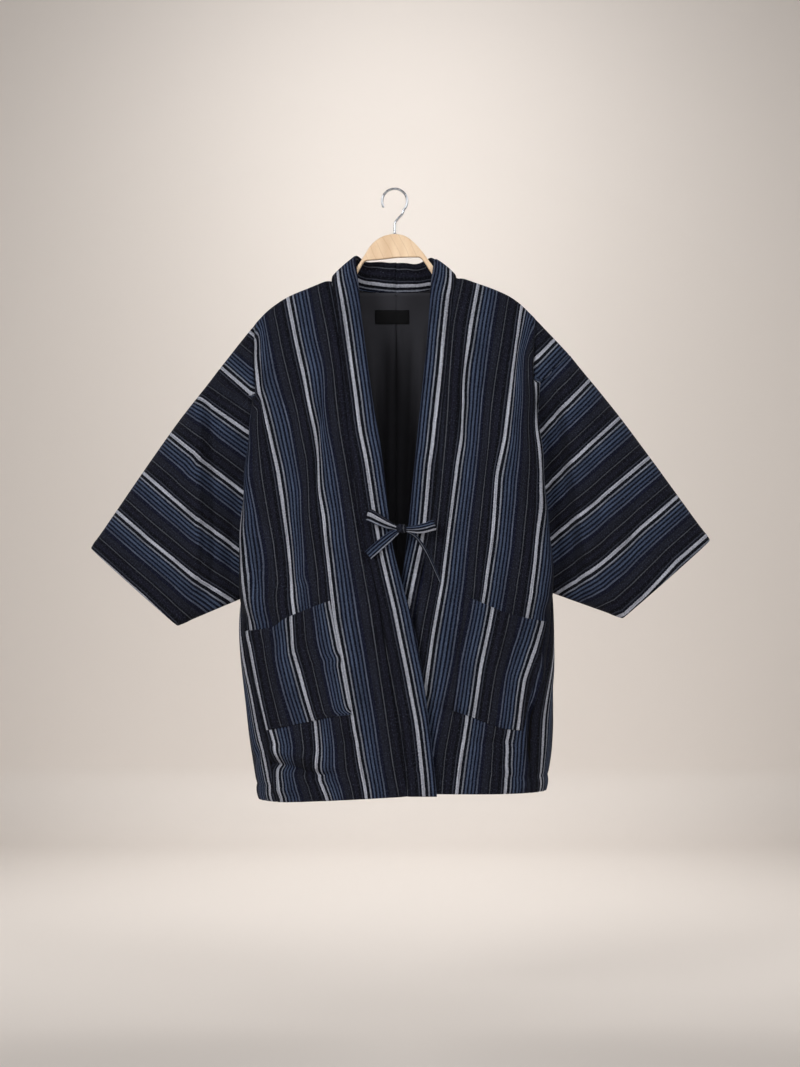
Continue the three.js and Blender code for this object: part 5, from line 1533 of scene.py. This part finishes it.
def ties():
    y = TIE_Y
    knot()
    ribbon("tie_loop_left_cloth", "tie_loop_left", loop_path([
        (4, -507, 0.1, 1, 7, 1.4), (-4, -504, 0.22, 1, 10, 2.6), (-12, -500.8, 0.3, 1, 13.5, 3.7),
        (-26, -493.8, 0.36, 1, 17, 4.6), (-36.5, -488.5, 0.36, 1, 18.5, 3.2)], 0.9), 10.4, -8.0, 91, curl=0.8, fold=0.8)
    ribbon("tie_loop_right_cloth", "tie_loop_right", loop_path([
        (17, -509, 0, 1, 7, 1.4), (25, -509, -0.03, 1, 9.5, 2.6), (33, -508.8, -0.05, 1, 12.5, 3.7),
        (46, -506.5, -0.15, 1, 14.5, 4.6), (55.5, -503.6, -0.25, 1, 15, 3.2)], 0.9), -1.5, 19.0, 92, curl=0.8, fold=0.8)
    ribbon("tie_tail_left_cloth", "tie_tail_left", [
        ((5.5, y - 1.2, -511), side(-0.45, 0, 1, 8)), ((-1, y - 2.4, -515.5), side(-0.55, 0, 1, 11)),
        ((-8, y - 2.2, -521), side(-0.62, 0, 1, 13.5)), ((-22, y - 1, -532.5), side(-0.72, 0, 1, 15)),
        ((-38.5, y + 2, -547.5), side(-0.8, 0, 1, 15))], 6.4, 24.5, 93, curl=0.9, fold=0.5)
    ribbon("tie_tail_right_cloth", "tie_tail_right", [
        ((17, y + 0.3, -512), side(0.25, 1, 0.4, 8)), ((25, y - 0.5, -516), side(0.22, 1, 0.3, 10)),
        ((33, y, -522.5), side(0.2, 1, 0.25, 12)), ((44, y, -538), side(0.26, 1, 0.15, 14)),
        ((55, y, -560), side(0.28, 1, 0.12, 14)), ((60, y, -572), side(0.26, 1, 0.12, 14)),
        ((67, y, -587), side(0.26, 1, 0.12, 14))], 6.2, 16.5, 94, curl=0.7, fold=0.3)
    ribbon("tie_stem_left_cloth", "tie_stem_left", [
        ((-15, y + 8.4, -499.5), side(0.25, 0, 1, 9)), ((-6, y + 7.6, -502.5), side(0.3, 0, 1, 8)),
        ((2.5, y + 6.4, -505.5), side(0.3, 0, 1, 7)), ((6, y + 5.0, -506.5), side(0.3, 0, 1, 6.5))],
        14, 4, 95, curl=0.4, fold=0.25)
    ribbon("tie_stem_right_cloth", "tie_stem_right", [
        ((28, y + 8.4, -508), side(-0.1, 0, 1, 8)), ((22, y + 7.6, -508), side(-0.1, 0, 1, 7)),
        ((17, y + 6.6, -508), side(-0.1, 0, 1, 6.5)), ((14.5, y + 5.2, -508), side(-0.1, 0, 1, 6))],
        14, 4, 96, curl=0.4, fold=0.25)


# ------------------------------------------------------------------ hanger
HEAD = [
    (-196, -203), (-186, -191), (-159, -175), (-127, -161), (-94, -149), (-72, -134), (-54.7, -112.5),
    (-46.5, -100), (-37, -85), (-26, -74.5), (-12, -68), (0, -66.2), (12, -68), (28, -78), (40, -91),
    (55, -111), (72, -131), (92, -146), (122, -155), (147.5, -166), (168, -178), (180, -189), (189, -200)]
UNDER = [
    (185, -206), (173, -201), (147.5, -183), (122, -170), (92, -160), (68, -145), (54, -123),
    (37.8, -101.6), (36.4, -101.0), (11, -101.4), (-22, -104.4), (-43.4, -106.6), (-44.8, -107.4), (-54, -122), (-67, -147),
    (-94, -163), (-127, -177), (-159, -192), (-180, -206), (-192, -210)]


def through(points, n):
    """n points along a smooth line through these."""
    p = np.array(points, float)
    t = np.concatenate([[0], np.cumsum(np.linalg.norm(np.diff(p, axis=0), axis=1))])
    return resample(p, t, np.linspace(0, t[-1], n))


def hanger_wood():
    """Head and arms in one board, 11 mm thick, its edges rounded over."""
    n = 190
    top, low = through(HEAD, n), through(UNDER, n)
    line = np.concatenate([top, low])                  # once round, clockwise
    m = len(line)
    t = unit(np.roll(line, -1, 0) - np.roll(line, 1, 0))
    inward = np.stack([t[:, 1], -t[:, 0]], -1)
    for _ in range(3):
        inward = unit(0.25 * np.roll(inward, 1, 0) + 0.5 * inward + 0.25 * np.roll(inward, -1, 0))
    r, half = 1.9, 5.5
    rings = []
    bev = [math.radians(a) for a in (90, 72, 54, 36, 18, 0)]
    for a in bev:
        rings.append((r * (1 - math.cos(a)), -(half - r + r * math.sin(a))))
    rings = [(rings[0][0] + 0.25, rings[0][1])] + rings
    rings += [(d, -y) for d, y in rings[::-1]]
    k = len(rings)
    co = np.empty((k, m, 3))
    for i, (d, y) in enumerate(rings):
        p = line + inward * d
        co[i, :, 0], co[i, :, 1], co[i, :, 2] = p[:, 0], y, p[:, 1]
    co = co.reshape(-1, 3) * 0.001
    vid = np.arange(k * m).reshape(k, m)
    vid = np.concatenate([vid, vid[:, :1]], 1)
    faces = grid_faces(vid, False)
    tid = np.arange(k * (m + 1)).reshape(k, m + 1)
    s, w = np.meshgrid(np.linspace(0, 1, m + 1), np.linspace(0, 1, k))
    bake = np.stack([0.02 + 0.96 * s, 0.02 + 0.12 * w], -1).reshape(-1, 2)
    fb = bake[grid_faces(tid, False)]
    caps, cb = [], []
    lo, hi = line.min(0), line.max(0)
    flat = (line - lo) / (hi - lo)
    for row, flip, base in ((0, False, 0.16), (k - 1, True, 0.58)):
        for i in range(n - 1):
            q = [i, i + 1, m - 2 - i, m - 1 - i]
            q = q[::-1] if flip else q
            caps.append([vid[row, j] for j in q])
            cb.append([(0.02 + 0.96 * flat[j, 0], base + 0.4 * flat[j, 1]) for j in q])
    faces = np.concatenate([faces, np.array(caps)])
    bake = np.concatenate([fb, np.array(cb)])
    o = build("hanger_wood_body", co, faces, None, bake, np.zeros(len(faces)), [WOOD])
    fix_facing(o)
    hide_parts("hanger_wood")
    return o


def fix_facing(o):
    """Turn a closed mesh's faces outwards."""
    me = o.data
    me.calc_loop_triangles()
    vol = 0.0
    for t in me.loop_triangles:
        a, b, c = (me.vertices[i].co for i in t.vertices)
        vol += a.dot(b.cross(c))
    if vol < 0:
        me.flip_normals()


def hanger_hook():
    """Steel wire, 3.6 mm, screwed into the head, with a rounded tip."""
    r = 17 + 1.8
    path = [(0, 0, -70), (0, 0, -65.6), (0, 0, -58), (0.6, 0, -50), (5, 0, -43), (11, 0, -36.5)]
    path += [(r * math.cos(math.radians(a)), 0, -17 + r * math.sin(math.radians(a))) for a in range(-42, 213, 14)]
    p = through(path, 260)
    t = unit(np.gradient(p, axis=0))
    up = np.array([0, 1.0, 0])
    sidev = unit(np.cross(t, up))
    n, m = len(p), 28
    d = np.linalg.norm(p - p[-1], axis=1)
    rad = 1.8 * np.sqrt(np.clip(1 - (1 - np.clip(d / 1.8, 0, 1)) ** 2, 0.02, 1))
    neck = p[:, 2]
    collar_ = (np.arange(n) < 60)
    rad = rad + np.where(collar_, 1.0 * smooth(-64.2, -65.4, neck) , 0)
    a = np.linspace(0, 2 * math.pi, m, endpoint=False)
    co = p[:, None] + rad[:, None, None] * (np.cos(a)[None, :, None] * sidev[:, None] + np.sin(a)[None, :, None] * up)
    vid = np.arange(n * m).reshape(n, m)
    vid = np.concatenate([vid, vid[:, :1]], 1)
    faces = list(grid_faces(vid, False))
    tid = np.arange(n * (m + 1)).reshape(n, m + 1)
    s, tt = np.meshgrid(np.linspace(0, 1, m + 1), np.linspace(0, 1, n))
    bake = np.stack([0.02 + 0.96 * tt, 0.02 + 0.9 * s], -1).reshape(-1, 2)
    fb = bake[grid_faces(tid, False)]
    caps = []
    for rr, flip in ((0, True), (n - 1, False)):
        v = vid[rr, :-1]
        for i in range(m // 2 - 1):
            q = [v[i], v[i + 1], v[m - 2 - i], v[m - 1 - i]]
            caps.append(q if flip else q[::-1])
    caps = np.array(caps)
    k = len(caps)
    gx = np.linspace(0.03, 0.95, k + 1)
    fc = np.stack([np.stack([gx[:-1], np.full(k, 0.94)], -1), np.stack([gx[1:], np.full(k, 0.94)], -1),
                   np.stack([gx[1:], np.full(k, 0.985)], -1), np.stack([gx[:-1], np.full(k, 0.985)], -1)], 1)
    faces = np.concatenate([np.array(faces), caps])
    bake = np.concatenate([fb, fc])
    o = build("hanger_hook_wire", co.reshape(-1, 3) * 0.001, faces, None, bake, np.zeros(len(faces)), [STEEL])
    fix_facing(o)
    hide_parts("hanger_hook")
    return o


for h in (LEFT, RIGHT):
    front(h)
    back(h)
    gusset(h)
    collar(h)
    sleeve(h)
    pocket(h)
    lining(h)
label()
ties()
hanger_wood()
hanger_hook()


# ------------------------------------------------------------------ stage
def plain(name, colour, rough=0.85):
    m, nt, b = nodes_of(name)
    b.inputs["Base Color"].default_value = colour
    b.inputs["Roughness"].default_value = rough
    b.inputs["Specular IOR Level"].default_value = 0.1
    return m


def backdrop():
    """Pale paper: a floor that sweeps up into a wall."""
    prof = [(-6.0, 0.0), (2.28, 0.0)]
    for a in range(6, 90, 6):
        t = math.radians(a)
        prof.append((2.28 + 0.32 * math.sin(t), 0.16 * (1 - math.cos(t))))
    prof += [(2.6, 0.16), (2.6, 4.5)]
    v, f = [], []
    for y, z in prof:
        v += [(-6, y, z + FLOOR), (6, y, z + FLOOR)]
    for i in range(len(prof) - 1):
        f.append((2 * i, 2 * i + 1, 2 * i + 3, 2 * i + 2))
    me = bpy.data.meshes.new("backdrop")
    me.from_pydata(v, [], f)
    me.polygons.foreach_set("use_smooth", [True] * len(f))
    me.materials.append(plain("pale_paper", srgb(224, 216, 209), 0.95))
    o = bpy.data.objects.new("backdrop", me)
    bpy.context.scene.collection.objects.link(o)


def area(name, at, target, size, power, colour=(1, 1, 1), spread=180, size_y=None):
    d = bpy.data.lights.new(name, "AREA")
    d.energy, d.size, d.color = power, size, colour
    if size_y:
        d.shape, d.size_y = "RECTANGLE", size_y
    d.spread = math.radians(spread)
    o = bpy.data.objects.new(name, d)
    o.location = at
    from mathutils import Vector
    o.rotation_euler = (Vector(target) - Vector(at)).to_track_quat("-Z", "Y").to_euler()
    o.visible_camera = False
    bpy.context.scene.collection.objects.link(o)
    return o


FLOOR = -1.25
backdrop()
area("key_left", (-2.3, -3.2, 0.7), (0, 0, -0.5), 1.7, 14.5)
area("key_right", (2.4, -3.2, 0.6), (0, 0, -0.55), 1.7, 16.0)
area("soft_left", (-2.3, -3.2, 0.9), (0, 0, -0.42), 1.5, 14.5, spread=75)
area("soft_right", (2.4, -3.2, 0.9), (0, 0, -0.42), 1.5, 7.5, spread=75)
area("front", (0, -4.3, -0.3), (0, 0, -0.5), 1.1, 13.5)
area("top", (0, -1.2, 1.6), (0, 0, -0.5), 1.4, 3.0)
area("wall", (0, 1.5, 0.8), (0, 2.6, -0.1), 0.5, 6.7, spread=140)
area("floor_far", (0, 1.95, 0.9), (0, 2.05, -1.25), 0.7, 1.9, spread=70)
area("floor_left", (-1.5, 0.9, 0.3), (-0.1, 0.9, -1.25), 1.0, 5.5, spread=100)
area("floor_right", (1.5, 0.9, 0.3), (0.1, 0.9, -1.25), 1.0, 5.9, spread=100)
world = bpy.data.worlds.new("soft_studio") if bpy.context.scene.world is None else bpy.context.scene.world
bpy.context.scene.world = world
world.use_nodes = True
bg = world.node_tree.nodes["Background"]
bg.inputs[0].default_value = (1, 1, 1, 1)
bg.inputs[1].default_value = 0.17

cam = bpy.data.cameras.new("camera")
cam.sensor_fit, cam.sensor_width, cam.lens = "AUTO", 36.0, 36.0 * 4.0 / 1.6005
cam.clip_start, cam.clip_end = 0.1, 50
cam_o = bpy.data.objects.new("camera", cam)
cam_o.location = (CAM_X * 0.001, -CAM_FAR * 0.001, CAM_Z * 0.001)
cam_o.rotation_euler = (math.radians(90), 0, 0)
bpy.context.scene.collection.objects.link(cam_o)
bpy.context.scene.camera = cam_o
bpy.context.scene.view_settings.view_transform = "Standard"
bpy.context.scene.view_settings.look = "None"
